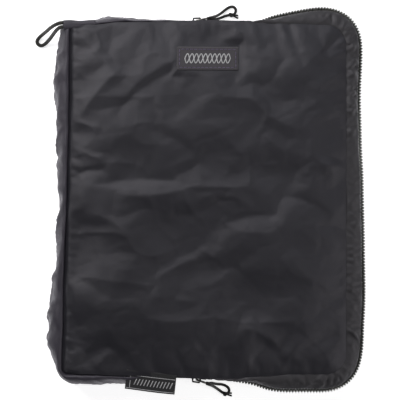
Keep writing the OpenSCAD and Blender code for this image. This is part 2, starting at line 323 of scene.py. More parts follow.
@dataclass(frozen=True)
class Moulded(Finish):
    """Nylon monofilament or plastic."""

    roughness: float = 0.38

    def make(self) -> bpy.types.Material:
        """Builds the material."""
        p = Paint(self.name, {"Specular IOR Level": 0.5})
        place = p.place()
        cloud = p.noise(place, 700.0, 3.0)
        p.set("Base Color", p.mix(cloud, self.dark, self.light))
        p.set("Roughness", self.roughness - 0.08 + cloud * 0.18)
        p.bump(p.noise(place, 5200.0, 2.0), 0.02 * MM, 0.5)
        return p.material


@dataclass(frozen=True)
class Enamel(Finish):
    """Dark enamel over a light zinc casting, worn through on its edges."""

    roughness: float = 0.34

    def make(self) -> bpy.types.Material:
        """Builds the material.

        Returns:
            The material.
        """
        p = Paint(self.name, {"Specular IOR Level": 0.5, "Coat Roughness": 0.2})
        place = p.place()
        cloud = p.noise(place, 900.0, 4.0, 0.65)
        edge = p.node("ShaderNodeNewGeometry", {}, {}, "Pointiness")
        worn = ((edge - 0.5) * 9.0 + (cloud - 0.5) * 1.4) > 0.55
        paint = p.mix(cloud, self.dark, rgb(*(c * 1.5 for c in self.dark[:3])))
        p.set("Base Color", p.mix(worn, paint, self.light))
        p.set("Metallic", worn * 0.8 + 0.1)
        p.set("Roughness", self.roughness - 0.05 + cloud * 0.14)
        p.bump(cloud, 0.02 * MM, 0.4)
        return p.material


@dataclass(frozen=True)
class Yarn(Finish):
    """Braided cord or sewing thread."""

    pitch: float = 1.1 * MM

    def make(self) -> bpy.types.Material:
        """Builds the material.

        Returns:
            The material.
        """
        p = Paint(self.name, {"Specular IOR Level": 0.3, "Sheen Weight": 0.3, "Sheen Roughness": 0.45})
        uv = p.weave()
        turn = 2 * math.pi / self.pitch
        along = p.axis(uv, "X") * turn
        around = p.axis(uv, "Y") * turn
        braid = ((along + around).sin() * (along - around).sin()) * 0.5 + 0.5
        fuzz = p.noise(uv, 2600.0, 2.0)
        p.set("Base Color", p.mix(braid * 0.6 + fuzz * 0.4, self.dark, self.light))
        p.set("Roughness", 0.6 + fuzz * 0.25)
        p.bump(braid * 0.7 + fuzz * 0.6, 0.08 * MM, 0.8)
        return p.material


@dataclass(frozen=True)
class Paper:
    """Matte white paper of the studio floor."""

    name: str
    base: tuple
    glow: float = 0.75

    def make(self) -> bpy.types.Material:
        """Builds the material."""
        p = Paint(self.name, {"Roughness": 0.9, "Specular IOR Level": 0.1, "Emission Strength": self.glow,
                              "Emission Color": rgb(1.0, 1.0, 1.0)})
        place = p.place()
        light = rgb(*(min(1.0, c * 1.02) for c in self.base[:3]))
        p.set("Base Color", p.mix(p.noise(place, 30.0), self.base, light))
        return p.material


# ---------------------------------------------------------------- plain maths


def smoothstep(t: Number) -> Number:
    """0 to 1 with flat ends, for t from 0 to 1."""
    t = np.clip(t, 0.0, 1.0)
    return t * t * (3 - 2 * t)


class Noise:
    """Smooth noise from -1 to 1 on a fixed random lattice."""

    def __init__(self, seed: int) -> None:
        """Draws the lattice.

        Args:
            seed: fixes the draw.
        """
        self.lattice = np.random.default_rng(seed).uniform(-1, 1, (128, 128))

    def at(self, x: Number, y: Number) -> np.ndarray:
        """Noise at x, y, one wave to about two units.

        Args:
            x: distance to the right.
            y: distance up.

        Returns:
            Values from about -1 to 1.
        """
        x, y = np.broadcast_arrays(np.asarray(x, float), np.asarray(y, float))
        i, j = np.floor(x).astype(int), np.floor(y).astype(int)
        fx, fy = smoothstep(x - i), smoothstep(y - j)
        size = len(self.lattice)
        corner = [self.lattice[(i + a) % size, (j + b) % size] for a in (0, 1) for b in (0, 1)]
        low = corner[0] + (corner[1] - corner[0]) * fy
        high = corner[2] + (corner[3] - corner[2]) * fy
        return low + (high - low) * fx

    def crease(self, x: Number, y: Number) -> np.ndarray:
        """Noise with sharp crests, from 0 to 1."""
        return (1 - np.abs(self.at(x, y))) ** 2.2


def catmull(points: Sequence[Sequence[float]], samples: int) -> np.ndarray:
    """A smooth line through points.

    Args:
        points: what it passes through.
        samples: how many points to return.

    Returns:
        Evenly spaced points along the line.
    """
    p = np.asarray(points, float)
    padded = np.vstack([2 * p[0] - p[1], p, 2 * p[-1] - p[-2]])
    t = np.linspace(0, len(p) - 1, 24 * len(p))
    i = np.minimum(t.astype(int), len(p) - 2)
    f = (t - i)[:, None]
    a, b, c, d = (padded[i + k] for k in range(4))
    line = 0.5 * (2 * b + (c - a) * f + (2 * a - 5 * b + 4 * c - d) * f**2 + (3 * b - a - 3 * c + d) * f**3)
    return evenly(line, samples)


def blurred(values: np.ndarray, cells: float) -> np.ndarray:
    """A grid of values softened over some cells.

    Args:
        values: rows x columns x components.
        cells: the blur's spread.

    Returns:
        The softened grid.
    """
    reach = int(3 * cells)
    kernel = np.exp(-0.5 * (np.arange(-reach, reach + 1) / cells) ** 2)
    kernel /= kernel.sum()
    for axis in (0, 1):
        pad = [(reach, reach) if k == axis else (0, 0) for k in range(values.ndim)]
        wide = np.pad(values, pad, mode="edge")
        count = values.shape[axis]
        values = sum(w * np.take(wide, np.arange(k, k + count), axis) for k, w in enumerate(kernel))
    return values


def evenly(line: np.ndarray, samples: int) -> np.ndarray:
    """The same line with evenly spaced points."""
    s = lengths(line)
    at = np.linspace(0, s[-1], samples)
    return np.stack([np.interp(at, s, line[:, k]) for k in range(line.shape[1])], 1)


def lengths(line: np.ndarray) -> np.ndarray:
    """Distance along a line at each of its points."""
    return np.concatenate([[0], np.cumsum(np.linalg.norm(np.diff(line, axis=0), axis=1))])


def unit(v: np.ndarray) -> np.ndarray:
    """Vectors of length 1."""
    return v / np.maximum(np.linalg.norm(v, axis=-1, keepdims=True), 1e-12)


def outwards(line: np.ndarray) -> np.ndarray:
    """Outward directions of a flat line round the middle."""
    tangent = unit(np.gradient(line, axis=0))
    out = np.stack([-tangent[:, 1], tangent[:, 0]], 1)
    return out * np.sign(np.sum(out * line, axis=1, keepdims=True))


# ---------------------------------------------------------------- meshes


def new_piece(name: str, points: np.ndarray, faces: Sequence, weave: Optional[np.ndarray],
              finish: bpy.types.Material, smooth: bool = True) -> bpy.types.Object:
    """Makes a mesh object.

    Args:
        name: the piece's name.
        points: its vertices.
        faces: its faces, as vertex numbers.
        weave: each vertex's place on the cloth, or None.
        finish: its material.
        smooth: whether it is smooth shaded.

    Returns:
        The object, linked to the scene.
    """
    mesh = bpy.data.meshes.new(name)
    mesh.from_pydata(points.reshape(-1, 3).tolist(), [], [tuple(int(v) for v in f) for f in faces])
    mesh.update()
    if weave is not None:
        flat = weave.reshape(-1, weave.shape[-1])
        full = np.zeros((len(flat), 3), np.float32)
        full[:, : flat.shape[1]] = flat
        mesh.attributes.new("weave", "FLOAT_VECTOR", "POINT").data.foreach_set("vector", full.ravel())
    mesh.materials.append(finish)
    mesh.polygons.foreach_set("use_smooth", [smooth] * len(mesh.polygons))
    return linked(name, mesh)


def linked(name: str, data: bpy.types.ID) -> bpy.types.Object:
    """An object of that data, linked to the scene."""
    made = bpy.data.objects.new(name, data)
    bpy.context.scene.collection.objects.link(made)
    return made


def grid_faces(rows: int, cols: int, flip: bool = False, wrap: bool = False) -> np.ndarray:
    """Faces of a grid of points.

    Args:
        rows: number of rows.
        cols: number of points in a row.
        flip: turns the faces over.
        wrap: joins each row's end to its start.

    Returns:
        Quads as vertex numbers.
    """
    i, j = np.meshgrid(np.arange(rows - 1), np.arange(cols if wrap else cols - 1), indexing="ij")
    k = (j + 1) % cols
    quads = np.stack([i * cols + j, i * cols + k, (i + 1) * cols + k, (i + 1) * cols + j], -1).reshape(-1, 4)
    return quads[:, ::-1] if flip else quads


def closed_faces(rings: int, sides: int) -> list:
    """Faces of a tube with closed ends, from rings of points."""
    last = (rings - 1) * sides
    return [*map(tuple, grid_faces(rings, sides, wrap=True)), tuple(range(sides))[::-1],
            tuple(range(last, last + sides))]


def grid_piece(name: str, points: np.ndarray, weave: np.ndarray, finish: bpy.types.Material,
               flip: bool = False, thick: float = 0.0) -> bpy.types.Object:
    """A sheet from a grid of points.

    Args:
        name: the piece's name.
        points: rows x columns x 3.
        weave: rows x columns x 2, the place on the flat cloth.
        finish: its material.
        flip: turns the faces over.
        thick: gives the sheet that thickness, away from its normals.

    Returns:
        The piece.
    """
    piece = new_piece(name, points, grid_faces(*points.shape[:2], flip), weave, finish)
    if thick:
        solid = piece.modifiers.new("thickness", "SOLIDIFY")
        solid.thickness = thick
        solid.offset = -1
        apply_modifiers(piece)
    return piece


def apply_modifiers(piece: bpy.types.Object) -> None:
    """Applies all of a piece's modifiers to its mesh."""
    graph = bpy.context.evaluated_depsgraph_get()
    mesh = bpy.data.meshes.new_from_object(piece.evaluated_get(graph))
    piece.modifiers.clear()
    piece.data = mesh


def frames_along(line: np.ndarray) -> tuple:
    """Two sideways directions at each point of a line, without twist.

    Args:
        line: the points.

    Returns:
        The two arrays of directions.
    """
    tangent = unit(np.gradient(line, axis=0))
    side = np.zeros_like(line)
    start = np.cross(tangent[0], [0.0, 0.0, 1.0])
    if np.linalg.norm(start) < 0.1:
        start = np.cross(tangent[0], [1.0, 0.0, 0.0])
    side[0] = unit(start)
    for i in range(1, len(line)):
        v = side[i - 1] - tangent[i] * np.dot(side[i - 1], tangent[i])
        side[i] = unit(v)
    return side, np.cross(tangent, side)


def tube(line: np.ndarray, radius: Number, sides: int, ripple: float = 0.0, turns: float = 0.0) -> tuple:
    """A closed tube along a line, braided if it has ripples.

    Args:
        line: its middle line.
        radius: its radius, or one at each point.
        sides: points round it.
        ripple: depth of the braid as a share of the radius.
        turns: braid waves to the metre.

    Returns:
        Its points, faces and place on the yarn.
    """
    side, up = frames_along(line)
    s = lengths(line)[:, None]
    a = np.linspace(0, 2 * np.pi, sides, endpoint=False)[None, :]
    r = np.broadcast_to(np.reshape(radius, (-1, 1)), (len(line), 1))
    braid = np.sin(2 * np.pi * turns * s + 4 * a) * np.sin(2 * np.pi * turns * s - 4 * a) if ripple else 0
    r = r * (1 + ripple * braid)
    ring = side[:, None, :] * np.cos(a)[..., None] + up[:, None, :] * np.sin(a)[..., None]
    points = (line[:, None, :] + ring * r[..., None]).reshape(-1, 3)
    full = (len(line), sides)
    weave = np.stack([np.broadcast_to(s, full), np.broadcast_to(a, full) * np.mean(radius)], -1)
    return points, closed_faces(*full), weave.reshape(-1, 2)


def dress(piece: bpy.types.Object, body: Body, nodes: Sequence[str],
          bend: Optional[tuple] = None) -> bpy.types.Object:
    """Hangs a piece on the empty of its body, or bakes its transform in place if it has a bend, and hides the CAD
    nodes it replaces.

    Args:
        piece: the piece, in its final shape.
        body: the body it rides on, if it doesn't bend.
        nodes: the CAD nodes that it replaces.
        bend: start and end of its bend between root and cover; when given, the piece only has its transform baked
            and joins no body.

    Returns:
        The piece.
    """
    if bend:
        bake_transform(piece)
    else:
        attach(piece, body.value)
    if nodes:
        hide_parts(*nodes)
    LOG.info("%s: %d faces, %s", piece.name, len(piece.data.polygons), "bends" if bend else body.value)
    return piece


def joined(name: str, parts: Sequence[tuple], finish: bpy.types.Material) -> bpy.types.Object:
    """One piece from several point, face and weave sets.

    Args:
        name: the piece's name.
        parts: what tube() returns, several times.
        finish: its material.

    Returns:
        The piece.
    """
    faces, start = [], 0
    for points, part_faces, _ in parts:
        faces += [tuple(v + start for v in f) for f in part_faces]
        start += len(points)
    return new_piece(name, np.vstack([p[0] for p in parts]), faces, np.vstack([p[2] for p in parts]), finish)


def stitch_parts(line: np.ndarray, up: np.ndarray, s: np.ndarray, starts: np.ndarray, length: float,
                 radius: float, arch: tuple, girth: tuple) -> list:
    """Sewing stitches that dip into the cloth at both ends.

    Args:
        line: where the row runs.
        up: the cloth's outward direction at each point of the line.
        s: distance along the line at each point.
        starts: where each stitch starts.
        length: length of a stitch.
        radius: radius of the thread.
        arch: height of the thread at five points of a stitch, in radii.
        girth: its thickness at those points, in radii.

    Returns:
        What joined() takes.
    """
    parts = []
    for start in starts:
        at = np.linspace(start, start + length, len(arch))
        middle, lift = (np.stack([np.interp(at, s, way[:, k]) for k in range(3)], 1) for way in (line, up))
        parts.append(tube(middle + lift * (np.array(arch) * radius)[:, None], radius * np.array(girth), 6))
    return parts


# ---------------------------------------------------------------- the pouch's outline


@dataclass
class Outline:
    """The seam line of the panels, and the line of the zip and gussets outside it."""

    half_w: float
    half_h: float
    zip_x: float
    zip_start: float
    pinch: float = 0.6 * MM
    seam_r: float = 12.0 * MM
    spine_r: float = 3.0 * MM
    zip_r: float = 20.0 * MM
    knee: float = 30.0 * MM
    step: float = 0.8 * MM
    slopes: dict = field(default_factory=lambda: {Edge.TOP: (2.5, 11.5), Edge.BOTTOM: (9.4, 4.0)})
    spine_puff: tuple = ((-104, 6.4), (-96, 9.6), (-84, 12.6), (-67, 11.6), (-35, 7.0), (5, 4.2), (40, 5.2),
                         (52, 5.6), (66, 6.2), (78, 4.6), (100, 3.0), (104, 2.8))
    spine_lean: tuple = ((-101, -2.4), (-60, -1.4), (-35, -0.8), (5, 0.8), (46, 1.8), (101, 2.2))
    top_puff: tuple = ((-80, 1.4), (-67, 4.0), (-53, 5.8), (-34, 4.2), (-12, 3.6))
    top_over: tuple = ((-66, 0), (-52, 1.4), (-30, 1.6), (-14, 2.2), (2, 2.8), (18, 2.3), (32, 1.2), (48, 0.5),
                       (66, 0))
    bottom_over: tuple = ((-66, 0), (-50, 0.8), (-30, 1.0), (-14, 2.2), (2, 2.9), (16, 2.6), (32, 1.2), (50, 0))
    bottom_puff: tuple = ((-80, 6.4), (-70, 6.8), (-50, 6.4), (-30, 4.2), (-12, 2.4))
    side_bow: tuple = ((-101, 0.4), (-80, 1.9), (-55, 2.9), (-29, 2.5), (9, 1.8), (34, 0.7), (60, 0.1), (85, 1.1),
                       (101, 1.2))
    top_bow: tuple = ((29, 0), (37, 2.2), (48, 2.4), (58, 2.2), (72, 1.2))
    bottom_bow: tuple = ((29, 0), (36, 2.8), (46, 2.9), (57, 1.9), (72, 1.2))

    def coil_y(self, edge: Edge, x: Number) -> Number:
        """Distance of the coil's outer face from the middle, on an edge at x."""
        first, second = (math.tan(math.radians(a)) for a in self.slopes[edge])
        start = self.half_h + self.pinch
        at_knee = start + (self.knee - self.zip_start) * first
        inner = start + (np.minimum(x, self.knee) - self.zip_start) * first
        return np.where(x < self.knee, inner, at_knee + (x - self.knee) * second)

    def zip_side(self) -> dict:
        """The stretch with the zip, from its top end round to its bottom end.

        Returns:
            Arrays of the seam line, the coil line and the outward direction.
        """
        seam, coil = [], []
        for edge in (Edge.TOP, Edge.BOTTOM):
            s, c = self._half_zip(edge)
            order = slice(None) if edge is Edge.TOP else slice(None, None, -1)
            seam.append(s[order])
            coil.append(c[order])
        top_end, bottom_end = seam[0][-1], seam[1][0]
        count = int((top_end[1] - bottom_end[1]) / self.step)
        t = np.linspace(0, 1, count)[1:-1, None]
        seam.insert(1, top_end + (bottom_end - top_end) * t)
        coil.insert(1, coil[0][-1] + (coil[1][0] - coil[0][-1]) * t)
        seam, coil = np.vstack(seam), np.vstack(coil)
        turn = np.stack([coil[:, 0] - (self.zip_x - self.zip_r), abs(coil[:, 1]) - 91 * MM], 1)
        corner = np.minimum(turn[:, 0], turn[:, 1]) > 0
        across = np.where(turn[:, 1] > 0, np.where(coil[:, 1] > 0, profile(self.top_bow, coil[:, 0]),
                                                   profile(self.bottom_bow, coil[:, 0])), 0)
        sideways = np.where(turn[:, 0] > 0, profile(self.side_bow, coil[:, 1]), 0)
        share = np.clip(np.where(corner, np.arctan2(turn[:, 1], turn[:, 0]) / (np.pi / 2), turn[:, 1] > 0), 0, 1)
        bow = across * share + sideways * (1 - share)
        away = unit(np.where(corner[:, None], turn, np.stack([turn[:, 1] <= 0, turn[:, 1] > 0], 1)))
        coil = coil + away * np.stack([np.ones_like(bow), np.where(coil[:, 1] > 0, 1, -1)], 1) * bow[:, None]
        return self._finished(seam, coil, 5)

    def _half_zip(self, edge: Edge) -> tuple:
        """Seam and coil line from the zip's end on one edge to the end of the corner.

        Args:
            edge: the edge it starts on.

        Returns:
            The seam line and the coil line.
        """
        slope = self.slopes[edge][1]
        corner_x = self.zip_x - self.zip_r
        centre_y = float(self.coil_y(edge, corner_x)) - self.zip_r / math.cos(math.radians(slope))
        seam_end = self.half_w - self.seam_r
        coil_end = corner_x - self.zip_r * math.sin(math.radians(slope))
        x = np.arange(self.zip_start, seam_end, self.step)
        bend = 50 * MM
        cx = np.where(x < bend, x, bend + (x - bend) * (coil_end - bend) / (seam_end - bend))
        straight_seam = np.stack([x, np.full_like(x, self.half_h)], 1)
        straight_coil = np.stack([cx, self.coil_y(edge, cx)], 1)
        k = np.linspace(0, 1, 34)
        a, b = np.radians(90 * (1 - k)), np.radians((90 + slope) * (1 - k))
        seam_middle = np.array([seam_end, self.half_h - self.seam_r])
        arc_seam = seam_middle + self.seam_r * np.stack([np.cos(a), np.sin(a)], 1)
        arc_coil = np.array([corner_x, centre_y]) + self.zip_r * np.stack([np.cos(b), np.sin(b)], 1)
        turn = np.array([1.0, edge.value])
        return np.vstack([straight_seam, arc_seam]) * turn, np.vstack([straight_coil, arc_coil]) * turn

    def gusset_side(self) -> dict:
        """The stretch without the zip, from the bottom zip end round the spine to the top zip end.

        Returns:
            Arrays of the seam line, the widest line and the outward direction.
        """
        start = -self.half_w + self.spine_r
        x = np.arange(self.zip_start, start, -self.step)
        k = np.linspace(0, 1, 12)
        a = np.radians(90 + 90 * k)
        seam, wide = [], []
        for edge in (Edge.BOTTOM, Edge.TOP):
            puff = self.top_puff if edge is Edge.TOP else self.bottom_puff
            out = profile(puff, x)
            centre = np.array([start, self.half_h - self.spine_r])
            corner = centre + self.spine_r * np.stack([np.cos(a), np.sin(a)], 1)
            reach = self.spine_r + out[-1] + (profile(self.spine_puff, edge.value * self.half_h) - out[-1]) * k
            turn = np.array([1.0, edge.value])
            s = np.vstack([np.stack([x, np.full_like(x, self.half_h)], 1), corner]) * turn
            w = np.vstack([np.stack([x, self.half_h + out], 1),
                           centre + reach[:, None] * np.stack([np.cos(a), np.sin(a)], 1)]) * turn
            order = slice(None) if edge is Edge.BOTTOM else slice(None, None, -1)
            seam.append(s[order])
            wide.append(w[order])
        low, high = seam[0][-1], seam[1][0]
        y = np.arange(low[1], high[1], self.step)[1:]
        seam.insert(1, np.stack([np.full_like(y, -self.half_w), y], 1))
        wide.insert(1, np.stack([-self.half_w - profile(self.spine_puff, y), y], 1))
        made = self._finished(np.vstack(seam), np.vstack(wide), 3)
        made["front_shift"] = self.front_shift(made["seam"])
        made["seam"] = made["seam"] + made["front_shift"]
        return made

    def front_shift(self, place: np.ndarray) -> np.ndarray:
        """How far the front's cloth lies from its cut outline.

        Its left side leans, and its top and bottom hang over the sliders.

        Args:
            place: points in the plane of the front.

        Returns:
            The shift at each point.
        """
        x, y = place[..., 0], place[..., 1]
        lean = profile(self.spine_lean, y) * smoothstep((-30 * MM - x) / (45 * MM))
        over = np.where(y > 0, profile(self.top_over, x), -profile(self.bottom_over, x))
        return np.stack([lean, over * smoothstep((abs(y) - 84 * MM) / (17 * MM))], -1)

    def _finished(self, seam: np.ndarray, wide: np.ndarray, blur: int) -> dict:
        """Smooths the outer line a little and adds its outward directions and length."""
        kernel = np.exp(-0.5 * (np.arange(-3 * blur, 3 * blur + 1) / blur) ** 2)
        kernel /= kernel.sum()
        before, after = 2 * wide[0] - wide[3 * blur : 0 : -1], 2 * wide[-1] - wide[-2 : -3 * blur - 2 : -1]
        padded = np.vstack([before, wide, after])
        soft = np.stack([np.convolve(padded[:, k], kernel, "valid") for k in (0, 1)], 1)
        return {"seam": seam.copy(), "wide": soft, "out": outwards(soft), "s": lengths(soft)}


def profile(points: Sequence[tuple], at: Number) -> Number:
    """A smooth value from listed pairs in millimetres, read and given in metres.

    Args:
        points: the pairs, in order.
        at: where to read, in metres.

    Returns:
        The value, in metres.
    """
    x = np.array([p[0] for p in points]) * MM
    y = np.array([p[1] for p in points]) * MM
    order = np.argsort(x)
    x, y = x[order], y[order]
    at = np.asarray(at, float)
    i = np.clip(np.searchsorted(x, at) - 1, 0, len(x) - 2)
    t = np.clip((at - x[i]) / (x[i + 1] - x[i]), 0, 1)
    return y[i] + (y[i + 1] - y[i]) * smoothstep(t)


# ---------------------------------------------------------------- the front cloth


@dataclass(frozen=True)
class Fold:
    """One crease of the front cloth, in millimetres: a ridge where height is positive, else a valley."""

    start: tuple
    end: tuple
    height: float
    width: float = 4.0
    bow: float = 0.0
    sharp: float = 1.4

    def rise(self, x: np.ndarray, y: np.ndarray) -> np.ndarray:
        """Height that it adds at x, y, all in millimetres.

        Args:
            x: distance to the right.
            y: distance up.

        Returns:
            The height.
        """
        a, b = np.array(self.start, float), np.array(self.end, float)
        along = b - a
        length = float(np.hypot(*along))
        along = along / length
        px, py = x - a[0], y - a[1]
        s = (px * along[0] + py * along[1]) / length
        across = px * -along[1] + py * along[0] - self.bow * np.sin(np.pi * np.clip(s, 0, 1))
        fade = smoothstep((s + 0.12) / 0.34) * smoothstep((1.12 - s) / 0.34)
        return self.height * fade * np.exp(-((np.abs(across) / self.width) ** self.sharp))


FOLDS = (
    Fold((-74, 48), (-50, 75), 1.5, 4.5, 2),
    Fold((-53, 49), (-12, 76), -1.5, 5.0, 4),
    Fold((-48, 58), (-8, 84), 1.1, 4.0, 3),
    Fold((-78, 45), (-62, 41), 0.8, 2.6),
    Fold((-78, 26), (-60, 23), 0.9, 2.8, 1),
    Fold((-78, 14), (-58, 17), -0.8, 3.0, 1),
    Fold((-62, 9), (-14, 10), -1.3, 4.0, 2),
    Fold((-50, 3), (-14, 5), 1.2, 4.5, -2),
    Fold((-18, -10), (14, 6), -1.2, 4.5, -4),
    Fold((-4, 0), (24, -2), 0.9, 4.0, 3),
    Fold((40, 3), (70, -8), -1.2, 4.5, 2),
    Fold((10, -14), (42, -9), -0.9, 4.0, 2),
    Fold((62, 27), (82, 21), -1.0, 3.2, 1),
    Fold((66, 20), (82, 17), 0.9, 3.0),
    Fold((64, -15), (82, -18), -0.9, 3.0, 1),
    Fold((-58, -32), (-30, -34), -1.2, 6.0, 2),
    Fold((-30, -46), (-2, -33), 1.0, 4.0, 1),
    Fold((-70, -91), (-52, -84), -1.2, 5.0, 1),
    Fold((-62, -98), (-52, -88), 1.2, 3.6, 1),
    Fold((20, -74), (42, -84), 1.2, 4.0, 2),
    Fold((26, -94), (38, -83), -1.3, 4.0, 1),
    Fold((44, -92), (56, -80), 1.0, 3.8, -1),
    Fold((-14, -92), (-4, -84), 1.0, 3.6, 1),
    Fold((80, 98), (66, 84), -1.2, 3.2, 1),
    Fold((62, 60), (80, 74), 0.8, 4.0, 2),
    Fold((46, 84), (30, 62), -0.9, 4.5, 2),
    Fold((24, 60), (54, 40), 0.9, 5.0, -3),
    Fold((-34, 40), (-8, 28), -0.8, 5.0, 2),
    Fold((2, 44), (22, 22), 0.7, 5.0, 2),
    Fold((-66, -8), (-44, -22), 0.9, 5.0, 2),
    Fold((8, -36), (34, -58), -0.8, 5.5, 3),
    Fold((48, -34), (76, -52), 0.8, 5.0, -3),
    Fold((-76, -44), (-56, -56), -0.9, 4.5, 1),
    Fold((-28, -66), (0, -58), -0.8, 5.0, -2),
)


@dataclass
class FrontCloth:
    """The front of the pouch: one creased nylon cloth sewn down all round."""

    outline: Outline
    low: float
    finish: bpy.types.Material
    label: tuple
    crown: float = 3.6 * MM
    roll: float = 2.6 * MM
    roll_depth: float = 2.3 * MM
    spacing: float = 1.0 * MM
    slack: float = 0.010
    fold_depth: float = 0.62
    settle_step: int = 2
    settle_frames: int = 24
    settle_cap: float = 3.0 * MM
    raw_share: float = 0.35

    def build(self) -> bpy.types.Object:
        """Makes the cloth.

        Returns:
            The piece.
        """
        flat, edge = self.flat_grid()
        noise = Noise(11)
        x, y = flat[..., 0] / MM, flat[..., 1] / MM
        z = self.low / MM + 0.5 + self.crown / MM * (1 - np.exp(-edge / MM / 20.0))
        rise = sum(fold.rise(x, y) for fold in FOLDS)
        inner = smoothstep(edge / (9 * MM))
        z = z + rise * self.fold_depth * (0.35 + 0.65 * inner)
        z = z + 0.8 * inner * noise.at(x / 24 + 3, y / 19 + 8)
        z = z + 0.35 * inner * (noise.crease(x / 21 + y / 60, y / 13 + 20) - 0.4)
        z = z - 0.16 * inner * (noise.crease(x / 12 + 40, y / 8 - x / 30 + 9) - 0.4)
        z = z + 0.05 * noise.at(x / 3.6, y / 2.9)
        z = z + self.puckers(x, y, edge / MM)
        points = np.stack([flat[..., 0], flat[..., 1], z * MM], -1)
        points = self.settle(points, edge)
        left = smoothstep((-points[..., 0] - 70 * MM) / (8 * MM))
        depth = self.roll_depth * (0.12 + 0.88 * left)
        points[..., 2] -= depth * (1 - smoothstep(edge / self.roll)) ** 1.3
        points[..., 2] = self.press_label(points)
        points[..., :2] += self.outline.front_shift(points)
        piece = grid_piece("front_cloth", points, flat, self.finish, flip=True)
        fine = piece.modifiers.new("fine", "SUBSURF")
        fine.levels = fine.render_levels = 1
        apply_modifiers(piece)
        return piece

    def flat_grid(self) -> tuple:
        """The cloth laid flat: a grid fitted to the rounded outline, and each point's distance from the seam.

        Returns:
            The grid's points and their distances.
        """
        o = self.outline
        cols, rows = (int(2 * h / self.spacing) + 1 for h in (o.half_w, o.half_h))
        x, y = np.meshgrid(np.linspace(-o.half_w, o.half_w, cols), np.linspace(-o.half_h, o.half_h, rows))
        reach = np.maximum(np.maximum(abs(x) / o.half_w, abs(y) / o.half_h), 1e-9)
        bx, by = abs(x) / reach, abs(y) / reach
        radius = np.where(x > 0, o.seam_r, o.spine_r)
        cx, cy = o.half_w - radius, o.half_h - radius
        size = np.hypot(bx, by)
        dot = (bx * cx + by * cy) / size
        hit = dot + np.sqrt(np.maximum(dot**2 - cx**2 - cy**2 + radius**2, 0))
        corner = (hit * bx / size > cx) & (hit * by / size > cy)
        ratio = np.where(corner, hit / size, 1.0)
        squeeze = 1 - (1 - ratio) * reach**9
        x, y = x * squeeze, y * squeeze
        qx, qy = abs(x) - cx, abs(y) - cy
        outside = np.hypot(np.maximum(qx, 0), np.maximum(qy, 0)) + np.minimum(np.maximum(qx, qy), 0)
        return np.stack([x, y], -1), np.maximum(radius - outside, 0)

    def puckers(self, x: np.ndarray, y: np.ndarray, edge: np.ndarray) -> np.ndarray:
        """Short gathers that run in from the seams, in millimetres.

        Args:
            x: distance to the right.
            y: distance up.
            edge: distance from the seam.

        Returns:
            Their height.
        """
        noise = Noise(23)
        total = np.zeros_like(x)
        sides = ((y + x * 0.25, x + 81, 2.4, 5.0, 0.62), (x + y * 0.3, 101 - y, 4.6, 9.0, 0.6),
                 (y - x * 0.3, 81 - x, 3.2, 5.0, 0.42), (x - y * 0.2, y + 101, 4.2, 5.0, 0.3))
        for row, (along, depth, wave, reach, share) in enumerate(sides):
            depth = np.maximum(depth, 0)
            strength = np.clip(0.55 + 0.75 * noise.at(along / 13 + 31 * row, 3.0 * row), 0.08, 1.3)
            ripple = noise.at(along / wave, depth / 26 + 7.0 * row)
            total += share * strength * ripple * np.exp(-depth / (reach * (0.6 + 0.6 * strength)))
        return total * (0.35 + 0.65 * smoothstep(edge / 2.0))

    def settle(self, start: np.ndarray, edge: np.ndarray) -> np.ndarray:
        """Lets the slack cloth buckle between its seams.

        Args:
            start: the creased grid.
            edge: each point's distance from the seam.

        Returns:
            The grid after the simulation, kept close to where it began.
        """
        rows, cols = (np.unique(np.append(np.arange(0, n, self.settle_step), n - 1)) for n in start.shape[:2])
        coarse = start[np.ix_(rows, cols)]
        piece = new_piece("front_cloth_settling", coarse, grid_faces(*coarse.shape[:2]), None, self.finish)
        group = piece.vertex_groups.new(name="seam")
        pinned = np.flatnonzero(edge[np.ix_(rows, cols)].ravel() < 0.6 * MM)
        group.add([int(i) for i in pinned], 1.0, "REPLACE")
        cloth = piece.modifiers.new("cloth", "CLOTH")
        setting = cloth.settings
        setting.quality = 5
        setting.mass = 0.08
        setting.tension_stiffness = setting.compression_stiffness = 12
        setting.shear_stiffness = 5
        setting.bending_stiffness = 0.6
        setting.shrink_min = -self.slack
        setting.vertex_group_mass = "seam"
        setting.use_pressure = False
        setting.effector_weights.gravity = 0
        cloth.collision_settings.use_collision = False
        cloth.collision_settings.use_self_collision = False
        scene = bpy.context.scene
        scene.frame_start, scene.frame_end = 1, self.settle_frames
        for frame_number in range(1, self.settle_frames + 1):
            scene.frame_set(frame_number)
        graph = bpy.context.evaluated_depsgraph_get()
        done = piece.evaluated_get(graph).to_mesh()
        moved = np.empty(len(done.vertices) * 3)
        done.vertices.foreach_get("co", moved)
        scene.frame_set(1)
        moved = moved.reshape(coarse.shape) - coarse
        moved = self.raw_share * moved + (1 - self.raw_share) * blurred(moved, 1.4)
        bpy.data.objects.remove(piece, do_unlink=True)
        size = np.linalg.norm(moved, axis=-1, keepdims=True)
        moved = moved * np.tanh(size / self.settle_cap) * self.settle_cap / np.maximum(size, 1e-9)
        LOG.info("cloth settled by up to %.2f mm, %.2f mm on average", size.max() / MM, size.mean() / MM)
        return start + self.spread(moved, rows, cols, start.shape[:2])

    def spread(self, values: np.ndarray, rows: np.ndarray, cols: np.ndarray, shape: tuple) -> np.ndarray:
        """Reads a coarse grid's values on the full grid."""
        wide = np.stack([[np.interp(np.arange(shape[1]), cols, line) for line in values[..., k]]
                         for k in range(3)], -1)
        tall = [[np.interp(np.arange(shape[0]), rows, wide[:, j, k]) for j in range(shape[1])] for k in range(3)]
        return np.transpose(np.array(tall), (2, 1, 0))

